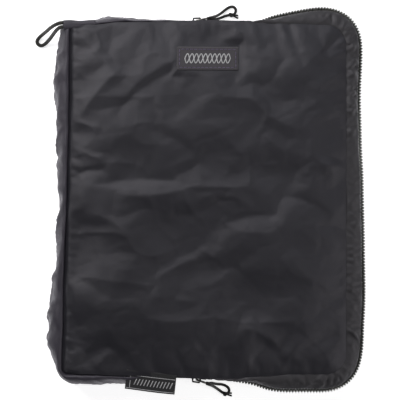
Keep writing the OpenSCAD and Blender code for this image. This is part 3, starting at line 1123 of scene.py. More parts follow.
    def press_label(self, points: np.ndarray) -> np.ndarray:
        """Height of the cloth once it lies flat under the label.

        Args:
            points: the cloth's grid.

        Returns:
            The height at each point.
        """
        (x0, y0, _), (x1, y1, _) = self.label
        middle = ((x0 + x1) / 2, (y0 + y1) / 2)
        across = abs(points[..., 0] - middle[0]) - (x1 - x0) / 2
        far = np.maximum(across, abs(points[..., 1] - middle[1]) - (y1 - y0) / 2)
        under = 1 - smoothstep((far + 0.5 * MM) / (5 * MM))
        patch = far < 0
        a = np.stack([points[patch][:, 0], points[patch][:, 1], np.ones(patch.sum())], 1)
        plane = np.linalg.lstsq(a, points[patch][:, 2], rcond=None)[0]
        flat = points[..., 0] * plane[0] + points[..., 1] * plane[1] + plane[2]
        return points[..., 2] * (1 - under * 0.85) + flat * under * 0.85


class Surface:
    """Reads the height of a piece from above."""

    def __init__(self, piece: bpy.types.Object) -> None:
        """Indexes the mesh of a piece in its final shape."""
        made = bmesh.new()
        made.from_mesh(piece.data)
        self.tree = BVHTree.FromBMesh(made)
        made.free()

    def at(self, x: float, y: float, fallback: float) -> float:
        """The highest point at x, y."""
        hit = self.tree.ray_cast(Vector((x, y, 0.1)), Vector((0, 0, -1)))[0]
        return fallback if hit is None else hit.z


# ---------------------------------------------------------------- gussets, zip and bindings


@dataclass
class Gussets:
    """The soft side that runs round the spine, from one zip end to the other."""

    outline: Outline
    finish: bpy.types.Material
    section: tuple = ((0.0, 20.6), (0.9, 22.1), (3.4, 21.6), (6.7, 17.4), (7.5, 12.0), (6.8, 6.4), (3.4, 2.3),
                      (0.9, 1.5), (0.0, 2.4))
    rounds: int = 34

    def build(self) -> dict:
        """Makes the three gussets: bottom, spine and top.

        Returns:
            The pieces by name.
        """
        side = self.outline.gusset_side()
        s, count = side["s"], len(side["s"])
        section = catmull(self.section, self.rounds)
        t = np.linspace(0, 1, self.rounds)[None, :]
        noise = Noise(37)
        out_share = section[:, 0][None, :] / 7.5
        z = np.broadcast_to(section[:, 1][None, :] * MM, (count, self.rounds)).copy()
        seam = side["seam"][:, None, :] - side["front_shift"][:, None, :] * t[..., None]
        reach = side["wide"][:, None, :] - side["seam"][:, None, :]
        away = side["out"][:, None, :]
        belly = np.sin(np.pi * t) ** 0.8
        sm = s[:, None] / MM
        fold = 1.5 * (noise.crease(sm / 11.5 + 1.6 * t, 2.4 * t + sm / 60) - 0.45)
        fold = fold + 0.9 * noise.at(sm / 6.4 + 2 * t, 3 * t)
        fold = fold - 0.7 * (noise.crease(sm / 7.2 - 2.4 * t, 4 * t + 40) - 0.4)
        fold = fold + 0.14 * noise.at(sm / 1.7, 16 * t)
        ends = smoothstep((s[:, None] - s[0]) / (8 * MM)) * smoothstep((s[-1] - s[:, None]) / (8 * MM))
        push = fold * belly * ends * MM
        width = np.linalg.norm(reach, axis=-1)
        plan = seam + reach * out_share[..., None] + away * (push * np.clip(width / (6 * MM), 0.25, 1))[..., None]
        z += (1.3 * noise.at(sm / 8.5 + 70, 2.4 * t) + 0.45 * noise.at(sm / 3.6, 6 * t)) * belly * MM
        points = np.concatenate([plan, z[..., None]], -1)
        weave = np.stack(np.broadcast_arrays(s[:, None], t * 30 * MM), -1)
        corner_low = int(np.argmin(abs(side["seam"][:, 0] + 80 * MM) + (side["seam"][:, 1] > 0) * 1.0))
        corner_high = int(np.argmin(abs(side["seam"][:, 0] + 80 * MM) + (side["seam"][:, 1] < 0) * 1.0))
        cuts = {"bottom_gusset_cloth": (0, corner_low + 1), "spine_gusset_cloth": (corner_low, corner_high + 1),
                "top_gusset_cloth": (corner_high, count)}
        return {name: grid_piece(name, points[a:b], weave[a:b], self.finish, flip=True)
                for name, (a, b) in cuts.items()}


@dataclass
class ZipSide:
    """The zip round three sides: cloth strips, woven tapes, coils and their ends."""

    outline: Outline
    strip: bpy.types.Material
    tape: bpy.types.Material
    coil: bpy.types.Material
    thread: bpy.types.Material
    back: float
    front: float
    stub: float = 13.2 * MM
    tape_inset: float = 2.5 * MM
    pitch: float = 1.75 * MM
    filament: float = 0.44 * MM
    path: dict = field(default_factory=dict)

    def __post_init__(self) -> None:
        """Lays out the zip's path."""
        self.path = self.outline.zip_side()

    @property
    def middle(self) -> float:
        """Height of the zip's middle."""
        return (self.back + self.front) / 2

    def build(self) -> dict:
        """Makes every piece of the zip side.

        Returns:
            The pieces by name.
        """
        made = {}
        s = self.path["s"]
        first = int(np.searchsorted(s, self.stub))
        last = int(np.searchsorted(s, s[-1] - self.stub))
        spans = {"": (first, last), "top_end": (0, first + 1), "bottom_end": (last - 1, len(s))}
        for half in Half:
            name = half.name.lower()
            made[f"{name}_strip_cloth"] = self.strip_cloth(f"{name}_strip_cloth", half)
            for part, (a, b) in spans.items():
                tag = f"{name}_zip" if not part else f"{name}_zip_{part}"
                made[f"{tag}_tape_band"] = self.tape_band(f"{tag}_tape_band", half, a, b)
                made[f"{tag}_coil_wire"] = self.coil_wire(f"{tag}_coil_wire", half, a, b)
        return made

    def tilt(self, s: np.ndarray) -> np.ndarray:
        """How far the tapes lean in at each station: upright where the sliders run, leaning elsewhere."""
        from_end = np.minimum(s, self.path["s"][-1] - s)
        return smoothstep((from_end - 36 * MM) / (15 * MM))

    def strip_points(self, half: Half) -> np.ndarray:
        """The cloth strip between the seam and the tape, as a grid.

        Args:
            half: the half of the zip it belongs to.

        Returns:
            The grid's points.
        """
        p = self.path
        t = np.linspace(0, 1, 14)[None, :]
        s = p["s"][:, None] / MM
        noise = Noise(51 + half.value)
        seam = p["seam"] - p["out"] * 0.5 * MM
        if half is Half.FRONT:
            seam = seam + self.outline.front_shift(p["seam"])
        end = p["wide"] - p["out"] * (self.tape_inset + 0.1 * MM + 0.4 * MM * self.tilt(p["s"]))[:, None]
        side = np.sum((end - seam) * p["out"], axis=1)[:, None]
        plan = seam[:, None, :] + (end - seam)[:, None, :] * (t**0.85)[..., None]
        belly = np.sin(np.pi * np.clip(t, 0, 1))
        pucker = 0.8 * noise.at(s / 1.9 + 1.2 * t, 1.6 * t) + 1.1 * (noise.crease(s / 4.6 - 1.4 * t, t + 9) - 0.4)
        pucker = pucker * np.clip(0.8 + 0.7 * noise.at(s / 15, 60.0), 0.2, 1.5)
        swell = (0.35 + 0.5 * np.clip(3 * MM - side, 0, 2 * MM) / MM) * belly + pucker * 0.35 * belly
        plan = plan + p["out"][:, None, :] * (swell * MM)[..., None]
        drop = 0.35 + 1.9 * t**2.2 - 0.7 * belly * (1 - t) - pucker * 0.9 * belly
        z = self.front - drop * MM
        if half is Half.BACK:
            z = self.back + np.maximum(drop, 0.25) * MM
        return np.concatenate([plan, np.broadcast_to(z, plan.shape[:2])[..., None]], -1)

    def strip_cloth(self, name: str, half: Half) -> bpy.types.Object:
        """Makes the cloth strip of one half."""
        points = self.strip_points(half)
        weave = np.stack(np.broadcast_arrays(self.path["s"][:, None], np.linspace(0, 1, 14)[None, :] * 9 * MM), -1)
        return grid_piece(name, points, weave, self.strip, flip=half is Half.BACK, thick=0.35 * MM)

    def tape_band(self, name: str, half: Half, a: int, b: int) -> bpy.types.Object:
        """Makes the woven tape of one half between two stations.

        Args:
            name: the piece's name.
            half: the half of the zip it belongs to.
            a: first station.
            b: last station.

        Returns:
            The piece.
        """
        p = {key: value[a:b] for key, value in self.path.items()}
        t = np.linspace(0, 1, 7)[None, :]
        lean = self.tilt(p["s"])[:, None]
        inset = (self.tape_inset + 0.1 * MM + (0.5 + 1.0 * lean) * MM * (1 - t) ** 1.2)[..., None]
        plan = p["wide"][:, None, :] - p["out"][:, None, :] * inset
        rise = 6.9 - 6.6 * t**1.2
        z = self.middle + half.value * (rise + 0.7) * MM
        points = np.concatenate([plan, np.broadcast_to(z, plan.shape[:2])[..., None]], -1)
        weave = np.stack(np.broadcast_arrays(p["s"][:, None], t * 5 * MM), -1)
        return grid_piece(name, points, weave, self.tape, flip=half is Half.BACK, thick=0.5 * MM)

    def coil_wire(self, name: str, half: Half, a: int, b: int) -> bpy.types.Object:
        """Makes the coil of one half between two stations.

        Args:
            name: the piece's name.
            half: the half of the zip it belongs to.
            a: first station.
            b: last station.

        Returns:
            The piece.
        """
        p = {key: value[a:b] for key, value in self.path.items()}
        per_turn = 12
        turns = int((p["s"][-1] - p["s"][0]) / self.pitch)
        at = np.linspace(p["s"][0], p["s"][-1], turns * per_turn + 1)
        angle = 2 * np.pi * at / self.pitch
        wide = np.stack([np.interp(at, p["s"], p["wide"][:, k]) for k in (0, 1)], 1)
        out = unit(np.stack([np.interp(at, p["s"], p["out"][:, k]) for k in (0, 1)], 1))
        plan = wide + out * ((-1.4 + 1.0 * np.cos(angle)) * MM)[:, None]
        z = self.middle + half.value * (1.9 + 1.08 * np.sin(angle)) * MM
        line = np.concatenate([plan, z[:, None]], 1)
        return joined(name, [tube(line, self.filament, 6)], self.coil)

    def strip_stitches(self, name: str, half: Half) -> bpy.types.Object:
        """Makes the row of stitches that holds the tape to the strip.

        Args:
            name: the piece's name.
            half: the half of the zip it belongs to.

        Returns:
            The piece.
        """
        points = self.strip_points(half)
        row = points[:, 10]
        outward = np.concatenate([self.path["out"] * 0.5, np.full((len(row), 1), 0.85 * half.value)], 1)
        line = row + outward * 0.1 * MM
        s = lengths(line)
        length, gap = 1.9 * MM, 0.9 * MM
        starts = np.arange(gap, s[-1] - length, length + gap)
        parts = stitch_parts(line, outward, s, starts, length, 0.2 * MM, (-0.9, 0.45, 0.8, 0.45, -0.9),
                             (0.6, 1, 1.05, 1, 0.6))
        return joined(name, parts, self.thread)


@dataclass
class Binding:
    """A folded tape sewn over the raw edges of a seam, inside the pouch."""

    finish: bpy.types.Material
    inset: float = 1.6 * MM
    height: float = 2.4 * MM

    def build(self, name: str, seam: np.ndarray, out: np.ndarray, low: float) -> bpy.types.Object:
        """Makes one binding.

        Args:
            name: the piece's name.
            seam: the seam line.
            out: its outward directions.
            low: height of the binding's lower edge.

        Returns:
            The piece.
        """
        a = np.linspace(0, 2 * np.pi, 14, endpoint=False)
        cx = np.sign(np.cos(a)) * np.abs(np.cos(a)) ** 0.6 * self.inset * 0.45
        cz = np.sign(np.sin(a)) * np.abs(np.sin(a)) ** 0.6 * self.height * 0.47
        centre = seam - out * (self.inset * 0.5 + 0.35 * MM)
        plan = centre[:, None, :] + out[:, None, :] * cx[None, :, None]
        z = np.broadcast_to((low + self.height / 2 + cz)[None, :, None], plan.shape[:2] + (1,))
        points = np.concatenate([plan, z], -1).reshape(-1, 3)
        s = lengths(seam)
        weave = np.stack(np.broadcast_arrays(s[:, None], a[None, :] * MM), -1).reshape(-1, 2)
        return new_piece(name, points, closed_faces(len(seam), len(a)), weave, self.finish)


@dataclass
class BackCloth:
    """The back of the pouch, flat on what it lies on, with rolled edges."""

    finish: bpy.types.Material
    low: float
    cloth: Optional[FrontCloth] = None

    def build(self) -> bpy.types.Object:
        """Makes the back cloth.

        Returns:
            The piece.
        """
        flat, edge = self.cloth.flat_grid()
        noise = Noise(71)
        x, y = flat[..., 0] / MM, flat[..., 1] / MM
        wrinkle = np.maximum(noise.crease(x / 16, y / 18 + x / 50) - 0.45, 0) * 1.4
        wrinkle = wrinkle + 0.12 * noise.at(x / 3, y / 3) + 0.12
        gather = np.maximum(noise.at((x + y) / 2.8, (x - y) / 14), 0) * 0.6 * np.exp(-edge / MM / 6)
        z = self.low / MM + 0.3 + (wrinkle + gather) * smoothstep(edge / (8 * MM)) * 0.7
        z = z + 1.3 * (1 - smoothstep(edge / (2.6 * MM))) ** 1.3
        points = np.stack([flat[..., 0], flat[..., 1], z * MM], -1)
        return grid_piece("back_cloth", points, flat, self.finish)


# ---------------------------------------------------------------- hardware, cords and labels


@dataclass
class Hardware:
    """Sliders and pull tabs: castings with softened edges."""

    finish: bpy.types.Material
    bevel: float = 0.22 * MM

    def build(self, node: str, body: Body) -> bpy.types.Object:
        """Makes a casting from its frame shape.

        Args:
            node: the CAD node that it stands for.
            body: the body it rides on.

        Returns:
            The piece.
        """
        mesh = bmesh.new()
        mesh.from_mesh(bpy.data.objects[node].data)
        bmesh.ops.remove_doubles(mesh, verts=mesh.verts, dist=0.002 * MM)
        bmesh.ops.dissolve_limit(mesh, angle_limit=math.radians(4), verts=mesh.verts, edges=mesh.edges)
        sharp = [e for e in mesh.edges if e.is_manifold and e.calc_face_angle(0) > math.radians(35)]
        bmesh.ops.bevel(mesh, geom=sharp, offset=self.bevel, segments=2, profile=0.5, affect="EDGES",
                        clamp_overlap=True)
        bmesh.ops.triangulate(mesh, faces=[f for f in mesh.faces if len(f.verts) > 4])
        data = bpy.data.meshes.new(f"{node}_casting")
        mesh.to_mesh(data)
        mesh.free()
        data.materials.clear()
        data.materials.append(self.finish)
        piece = linked(data.name, data)
        data.polygons.foreach_set("use_smooth", [True] * len(data.polygons))
        data.set_sharp_from_angle(angle=math.radians(50))
        return dress(piece, body, (node,))


LOOP_ROUTE = ((-82.5, 102.3, 20.9), (-85, 102, 20.4), (-88, 101, 18), (-91, 99.6, 13.5), (-93.5, 98.2, 8.5),
              (-96, 96.8, 4), (-98.2, 95.2, 1.6), (-99.4, 93.2, 1.12), (-98.8, 91.4, 1.12), (-96.8, 90.6, 1.12),
              (-94.6, 91.6, 1.8), (-92.6, 93.2, 4.2), (-90.6, 95, 8), (-88.6, 96.8, 13), (-86.6, 98.4, 17.6),
              (-84.6, 99.6, 20.2), (-82.5, 99.9, 20.9))
TOP_ROUTE = ((0.8, 105.5, 13.1), (2.6, 106, 12.4), (4.6, 106.8, 9.4), (6.8, 108, 5.4), (9.2, 109.8, 2.2),
             (11.8, 112, 0.9), (14.4, 113.4, 0.87), (16.6, 113.2, 0.87), (17.6, 111.2, 0.87), (16.4, 109, 0.87),
             (13.8, 108.6, 0.87), (11.2, 108, 0.9), (8.8, 106.9, 2), (6.6, 106, 4.4), (4.6, 105.5, 7.6),
             (2.6, 105.4, 10), (0.8, 105.3, 10.9))
BOTTOM_ROUTE = ((0.2, -107.2, 13.1), (1.8, -107.9, 12.2), (3.6, -108.9, 8.8), (5.6, -110.4, 4.6),
                (7.8, -112.2, 1.6), (10, -113.8, 0.87), (12.2, -114.4, 0.87), (13.6, -113, 0.87), (13.2, -111, 0.87),
                (11.4, -109.6, 0.87), (9.2, -108.9, 1), (7.2, -108.6, 2.4), (5.2, -108.1, 4.8), (3.4, -107.5, 7.4),
                (1.8, -107.4, 10.2), (0.2, -107, 10.9))


@dataclass
class Cord:
    """A short braided cord whose two ends are both held by the pouch."""

    name: str
    route: tuple
    diameter: float
    body: Body
    node: str
    slot: str
    finish: bpy.types.Material
    braid: float = 900.0

    def line(self) -> np.ndarray:
        """The cord's middle line."""
        return catmull(np.array(self.route) * MM, 150)

    def build(self, others: Sequence[bpy.types.Object]) -> bpy.types.Object:
        """Args:
            others: the pieces on the cord, not used.

        Returns:
            The piece.
        """
        line = self.line()
        piece = joined(self.name, [tube(line, self.diameter / 2 * 0.97, 16, 0.1, self.braid)], self.finish)
        dress(piece, self.body, (self.node,))
        return piece


@dataclass
class Knot:
    """The overhand knot that closes a pull cord."""

    name: str
    centre: tuple
    turn: float
    body: Body
    node: str
    finish: bpy.types.Material
    strand: float = 0.55 * MM

    def build(self) -> bpy.types.Object:
        """Makes the knot with its two short tails.

        Returns:
            The piece.
        """
        a = np.linspace(0, 2 * np.pi, 90)
        x = (np.sin(a) + 2 * np.sin(2 * a)) * 0.5
        y = (np.cos(a) - 2 * np.cos(2 * a)) * 0.33
        z = -np.sin(3 * a) * 0.42
        turn = math.radians(self.turn)
        c = np.array(self.centre)
        knot = np.stack([x * math.cos(turn) - y * math.sin(turn), x * math.sin(turn) + y * math.cos(turn), z], 1)
        parts = [tube((c + knot * 0.95) * MM, self.strand, 8, 0.1, 1100)]
        for lift in (0.35, -0.35):
            tail = [c, c + [1.6, lift, -0.5], c + [3.0, lift * 1.9, -0.9], c + [4.1, lift * 2.1, -1.0]]
            tail = [[c[0] + (p[0] - c[0]) * math.cos(turn),
                     c[1] + (p[1] - c[1]) + (p[0] - c[0]) * math.sin(turn), p[2]]
                    for p in tail]
            parts.append(tube(catmull(np.array(tail) * MM, 16), self.strand * 0.95, 8, 0.1, 1100))
        return dress(joined(self.name, parts, self.finish), self.body, (self.node,))


@dataclass
class Labels:
    """The two woven labels and the sleeve of the hanging loop."""

    ground: bpy.types.Material
    edge_thread: bpy.types.Material
    black: bpy.types.Material
    pale: bpy.types.Material
    sleeve_cloth: bpy.types.Material
    dip: float = 13.0
    seam_size: tuple = (29.0, 9.5)
    seam_turn: float = -6.5
    seam_place: tuple = (-31.5, -101.0, 23.0)

    def front(self, surface: Surface) -> list:
        """Makes the front label, its stitched border and its plain pattern.

        Args:
            surface: the front cloth.

        Returns:
            The pieces, the label first.
        """
        (x0, y0, z0), (x1, y1, _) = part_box("front_label")
        cols, rows = 72, 30
        x, y = np.meshgrid(np.linspace(x0, x1, cols), np.linspace(y0, y1, rows))
        hem = np.minimum(np.minimum(x - x0, x1 - x), np.minimum(y - y0, y1 - y))
        z = np.array([[surface.at(float(a), float(b), z0) for a, b in zip(ra, rb)] for ra, rb in zip(x, y)])
        z = z + 0.18 * MM + 0.42 * MM * smoothstep(hem / (0.9 * MM) + 0.35)
        z = z - 0.16 * MM * np.exp(-(((hem - 1.5 * MM) / (0.35 * MM)) ** 2))
        points = np.stack([x, y, z], -1)
        label = grid_piece("front_label_patch", points, points[..., :2], self.ground, thick=0.4 * MM)
        lines = []
        corners = [(x0, y0), (x1, y0), (x1, y1), (x0, y1), (x0, y0)]
        inset = 1.5 * MM
        centre = np.array([(x0 + x1) / 2, (y0 + y1) / 2])
        for a, b in zip(corners[:-1], corners[1:]):
            a, b = (np.array(c) - np.sign(np.array(c) - centre) * inset for c in (a, b))
            run = a + (b - a) * np.linspace(0, 1, 60)[:, None]
            lines.append(run)
        return [label, self.border(lines, points), self.pattern(points)]

    def border(self, lines: list, points: np.ndarray) -> bpy.types.Object:
        """The rows of stitches round a label, as one piece.

        Args:
            lines: flat lines that the rows follow.
            points: the label's grid.

        Returns:
            The piece.
        """
        parts = []
        length, gap = 1.7 * MM, 0.75 * MM
        for run in lines:
            s = lengths(run)
            line = np.concatenate([run, (self.height(points, run) + 0.05 * MM)[:, None]], 1)
            up = np.tile([0.0, 0.0, 1.0], (len(line), 1))
            starts = np.arange(0.1 * MM, s[-1] - length * 0.6, length + gap)
            parts += stitch_parts(line, up, s, starts, length, 0.24 * MM, (-0.9, 0.4, 0.7, 0.4, -0.9),
                                  (0.7, 1, 1, 1, 0.7))
        return joined("front_label_stitches", parts, self.edge_thread)

    def height(self, points: np.ndarray, run: np.ndarray) -> np.ndarray:
        """Height of a label's grid along a line."""
        xs, ys = points[0, :, 0], points[:, 0, 1]
        i = np.clip(np.searchsorted(xs, run[:, 0]), 1, len(xs) - 1)
        j = np.clip(np.searchsorted(ys, run[:, 1]), 1, len(ys) - 1)
        return np.maximum(points[j, i, 2], points[j - 1, i - 1, 2])

    def pattern(self, points: np.ndarray) -> bpy.types.Object:
        """Two pale strands that cross in a plain woven wave.

        Args:
            points: the label's grid.

        Returns:
            The piece.
        """
        x0, x1 = points[0, 0, 0], points[0, -1, 0]
        middle = (points[0, 0, 1] + points[-1, 0, 1]) / 2
        parts = []
        x = np.linspace(x0 + 4.6 * MM, x1 - 4.6 * MM, 240)
        for phase in (0.0, np.pi):
            wave = np.sin((x - x[0]) / (x[-1] - x[0]) * 10 * np.pi + phase)
            run = np.stack([x + wave * 0.3 * MM, middle + wave * 2.7 * MM], 1)
            z = self.height(points, run) + 0.04 * MM
            parts.append(tube(np.concatenate([run, z[:, None]], 1), 0.31 * MM, 6))
        return joined("front_label_pattern", parts, self.pale)

    def seam(self) -> list:
        """Makes the folded label in the bottom seam and its woven marks.

        Returns:
            The pieces, the label first.
        """
        w, h = self.seam_size
        u, v = np.meshgrid(np.linspace(-w / 2, w / 2, 60), np.linspace(1.2, -h - 1, 26))
        label = grid_piece("seam_label_patch", self.on_seam(u, v), np.stack([u, v], -1) * MM, self.black,
                           flip=True, thick=0.45 * MM)
        rules = [(-w / 2 + 0.4, w - 0.8, offset, offset, 0.17, 60) for offset in (-1.9, -h - 0.1)]
        strokes = [(-w / 2 + 2.6, 0.0, -h + 0.4, -2.4, 0.2, 12)]
        strokes += [(start, 1.3, -7.4, -3.8, 0.26, 12) for start in np.arange(-w / 2 + 5, w / 2 - 3, 1.9)]
        parts = []
        for start, lean, low, high, radius, count in rules + strokes:
            a, b = np.linspace(start, start + lean, count), np.linspace(low, high, count)
            parts.append(tube(self.on_seam(a, b, 0.08), radius * MM, 6))
        return [label, joined("seam_label_marks", parts, self.pale)]

    def on_seam(self, a: np.ndarray, b: np.ndarray, lift: float = 0.0) -> np.ndarray:
        """Points of the seam label in the part's frame.

        Args:
            a: millimetres along the label, from its middle.
            b: millimetres across it, from the seam.
            lift: millimetres above its cloth.

        Returns:
            The points, in metres.
        """
        c = 0.5 * np.sin(a / 6.5 + 0.8) * smoothstep(-b / 6) + 0.35 * np.sin(b / 2.2) + lift
        dip, turn = math.radians(self.dip), math.radians(self.seam_turn)
        y = b * math.cos(dip) - c * math.sin(dip)
        z = b * math.sin(dip) + c * math.cos(dip)
        place = (a * math.cos(turn) - y * math.sin(turn), a * math.sin(turn) + y * math.cos(turn), z)
        return np.stack([low + high for low, high in zip(self.seam_place, place)], -1) * MM

    def sleeve(self) -> bpy.types.Object:
        """Makes the flat folded sleeve that holds the hanging loop.

        Returns:
            The piece.
        """
        low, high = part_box("loop_sleeve")
        size, centre = np.array(high - low), np.array((high + low) / 2)
        rings, sides = 30, 28
        a = np.linspace(0, 2 * np.pi, sides, endpoint=False)
        t = np.linspace(0, 1, rings)
        ring_y = np.sign(np.cos(a)) * np.abs(np.cos(a)) ** 0.7 * size[1] / 2
        ring_z = np.sign(np.sin(a)) * np.abs(np.sin(a)) ** 0.8 * size[2] / 2
        squeeze = 0.92 + 0.08 * np.sin(t * 9)[:, None]
        noise = Noise(83).at(t[:, None] * 7, a[None, :] * 1.2)
        x = np.broadcast_to((low[0] + t * size[0])[:, None], (rings, sides))
        y = centre[1] + ring_y[None, :] * squeeze
        z = centre[2] + ring_z[None, :] * (squeeze - 0.06 * noise)
        points = np.stack([x, y, z], -1).reshape(-1, 3)
        weave = np.stack(np.broadcast_arrays(x, a[None, :] * 2.2 * MM), -1).reshape(-1, 2)
        return new_piece("loop_sleeve_cloth", points, closed_faces(rings, sides), weave, self.sleeve_cloth)


# ---------------------------------------------------------------- the studio


@dataclass
class Studio:
    """A white table, soft lights and a camera straight above."""

    paper: bpy.types.Material
    distance: float = 1.1
    across: float = 0.232

    def build(self) -> None:
        """Makes the floor, the lights and the camera."""
        floor = new_piece("table", np.array([[-3, -3, 0], [3, -3, 0], [3, 3, 0], [-3, 3, 0]], float),
                          [(0, 1, 2, 3)], None, self.paper, smooth=False)
        floor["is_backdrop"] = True
        world = bpy.data.worlds.new("studio")
        world.use_nodes = True
        world.node_tree.nodes["Background"].inputs["Color"].default_value = rgb(0.9, 0.93, 1.0)
        world.node_tree.nodes["Background"].inputs["Strength"].default_value = 0.11
        bpy.context.scene.world = world
        bpy.context.scene.view_settings.view_transform = "Standard"
        self.lamp("key", (-0.42, 0.42, 0.52), 0.4, 4.1, (1.0, 0.98, 0.96))
        self.lamp("top_fill", (0.15, 0.75, 0.8), 0.6, 2.6, (0.95, 0.97, 1.0))
        self.lamp("right_fill", (0.75, -0.35, 0.6), 0.5, 3.0, (1.0, 0.97, 0.95))
        camera = bpy.data.cameras.new("camera")
        camera.sensor_width = 36
        camera.lens = 36 * self.distance / self.across
        camera.clip_start = 0.05
        eye = linked("camera", camera)
        eye.location = (-0.0035, -0.0003, self.distance + 0.018)
        bpy.context.scene.camera = eye

    def lamp(self, name: str, place: tuple, size: float, power: float, colour: tuple) -> None:
        """A square area light that points at the pouch.

        Args:
            name: the light's name.
            place: where it stands.
            size: its side.
            power: watts.
            colour: its colour.
        """
        light = bpy.data.lights.new(name, "AREA")
        light.size = size
        light.energy = power
        light.color = colour
        lamp = linked(name, light)
        lamp.location = place
        lamp.rotation_euler = (-Vector(place)).to_track_quat("-Z", "Y").to_euler()


@dataclass
class Finishes:
    """Every material, made once."""

    def __post_init__(self) -> None:
        """Builds the materials."""
        self.shell = Nylon("shell_nylon", rgb(0.0071, 0.0070, 0.0088), rgb(0.0140, 0.0136, 0.0174)).make()
        # painted highlight: gusset_nylon is the shell's cloth in a lighter, more violet colour, standing in for the
        # sheen that light puts on the sloping gussets; the loop sleeve uses it too
        self.gusset = Nylon("gusset_nylon", rgb(0.0165, 0.0148, 0.0205), rgb(0.037, 0.0325, 0.0435), 0.44).make()
        self.strip = Nylon("strip_nylon", rgb(0.0145, 0.0138, 0.0146), rgb(0.0290, 0.0276, 0.0290), 0.48).make()
        self.tape = Webbing("zip_tape", rgb(0.019, 0.0195, 0.0165), rgb(0.052, 0.052, 0.045)).make()
        self.binding = Webbing("seam_binding", rgb(0.010, 0.010, 0.012), rgb(0.030, 0.030, 0.034)).make()
        self.coil = Moulded("zip_coil", rgb(0.034, 0.034, 0.030), rgb(0.088, 0.088, 0.077), 0.3).make()
        self.enamel = Enamel("slider_enamel", rgb(0.012, 0.012, 0.012), rgb(0.28, 0.27, 0.25)).make()
        self.thread = Yarn("thread", rgb(0.012, 0.012, 0.014), rgb(0.04, 0.04, 0.045), 0.5 * MM).make()
        self.pull_cord = Yarn("pull_cord", rgb(0.006, 0.006, 0.006), rgb(0.030, 0.030, 0.028)).make()
        self.loop_cord = Yarn("loop_cord", rgb(0.008, 0.008, 0.007), rgb(0.036, 0.035, 0.032), 1.3 * MM).make()
        self.label = Webbing("front_label_weave", rgb(0.036, 0.033, 0.038), rgb(0.074, 0.068, 0.078),
                             0.42 * MM).make()
        self.label_thread = Yarn("label_thread", rgb(0.06, 0.045, 0.085), rgb(0.16, 0.13, 0.22), 0.5 * MM).make()
        self.black = Webbing("seam_label_weave", rgb(0.010, 0.010, 0.011), rgb(0.024, 0.024, 0.026),
                             0.4 * MM).make()
        self.pale = Yarn("pale_thread", rgb(0.35, 0.35, 0.36), rgb(0.55, 0.55, 0.56), 0.4 * MM).make()
        self.paper = Paper("table_paper", rgb(0.85, 0.85, 0.86)).make()


# ---------------------------------------------------------------- assembly


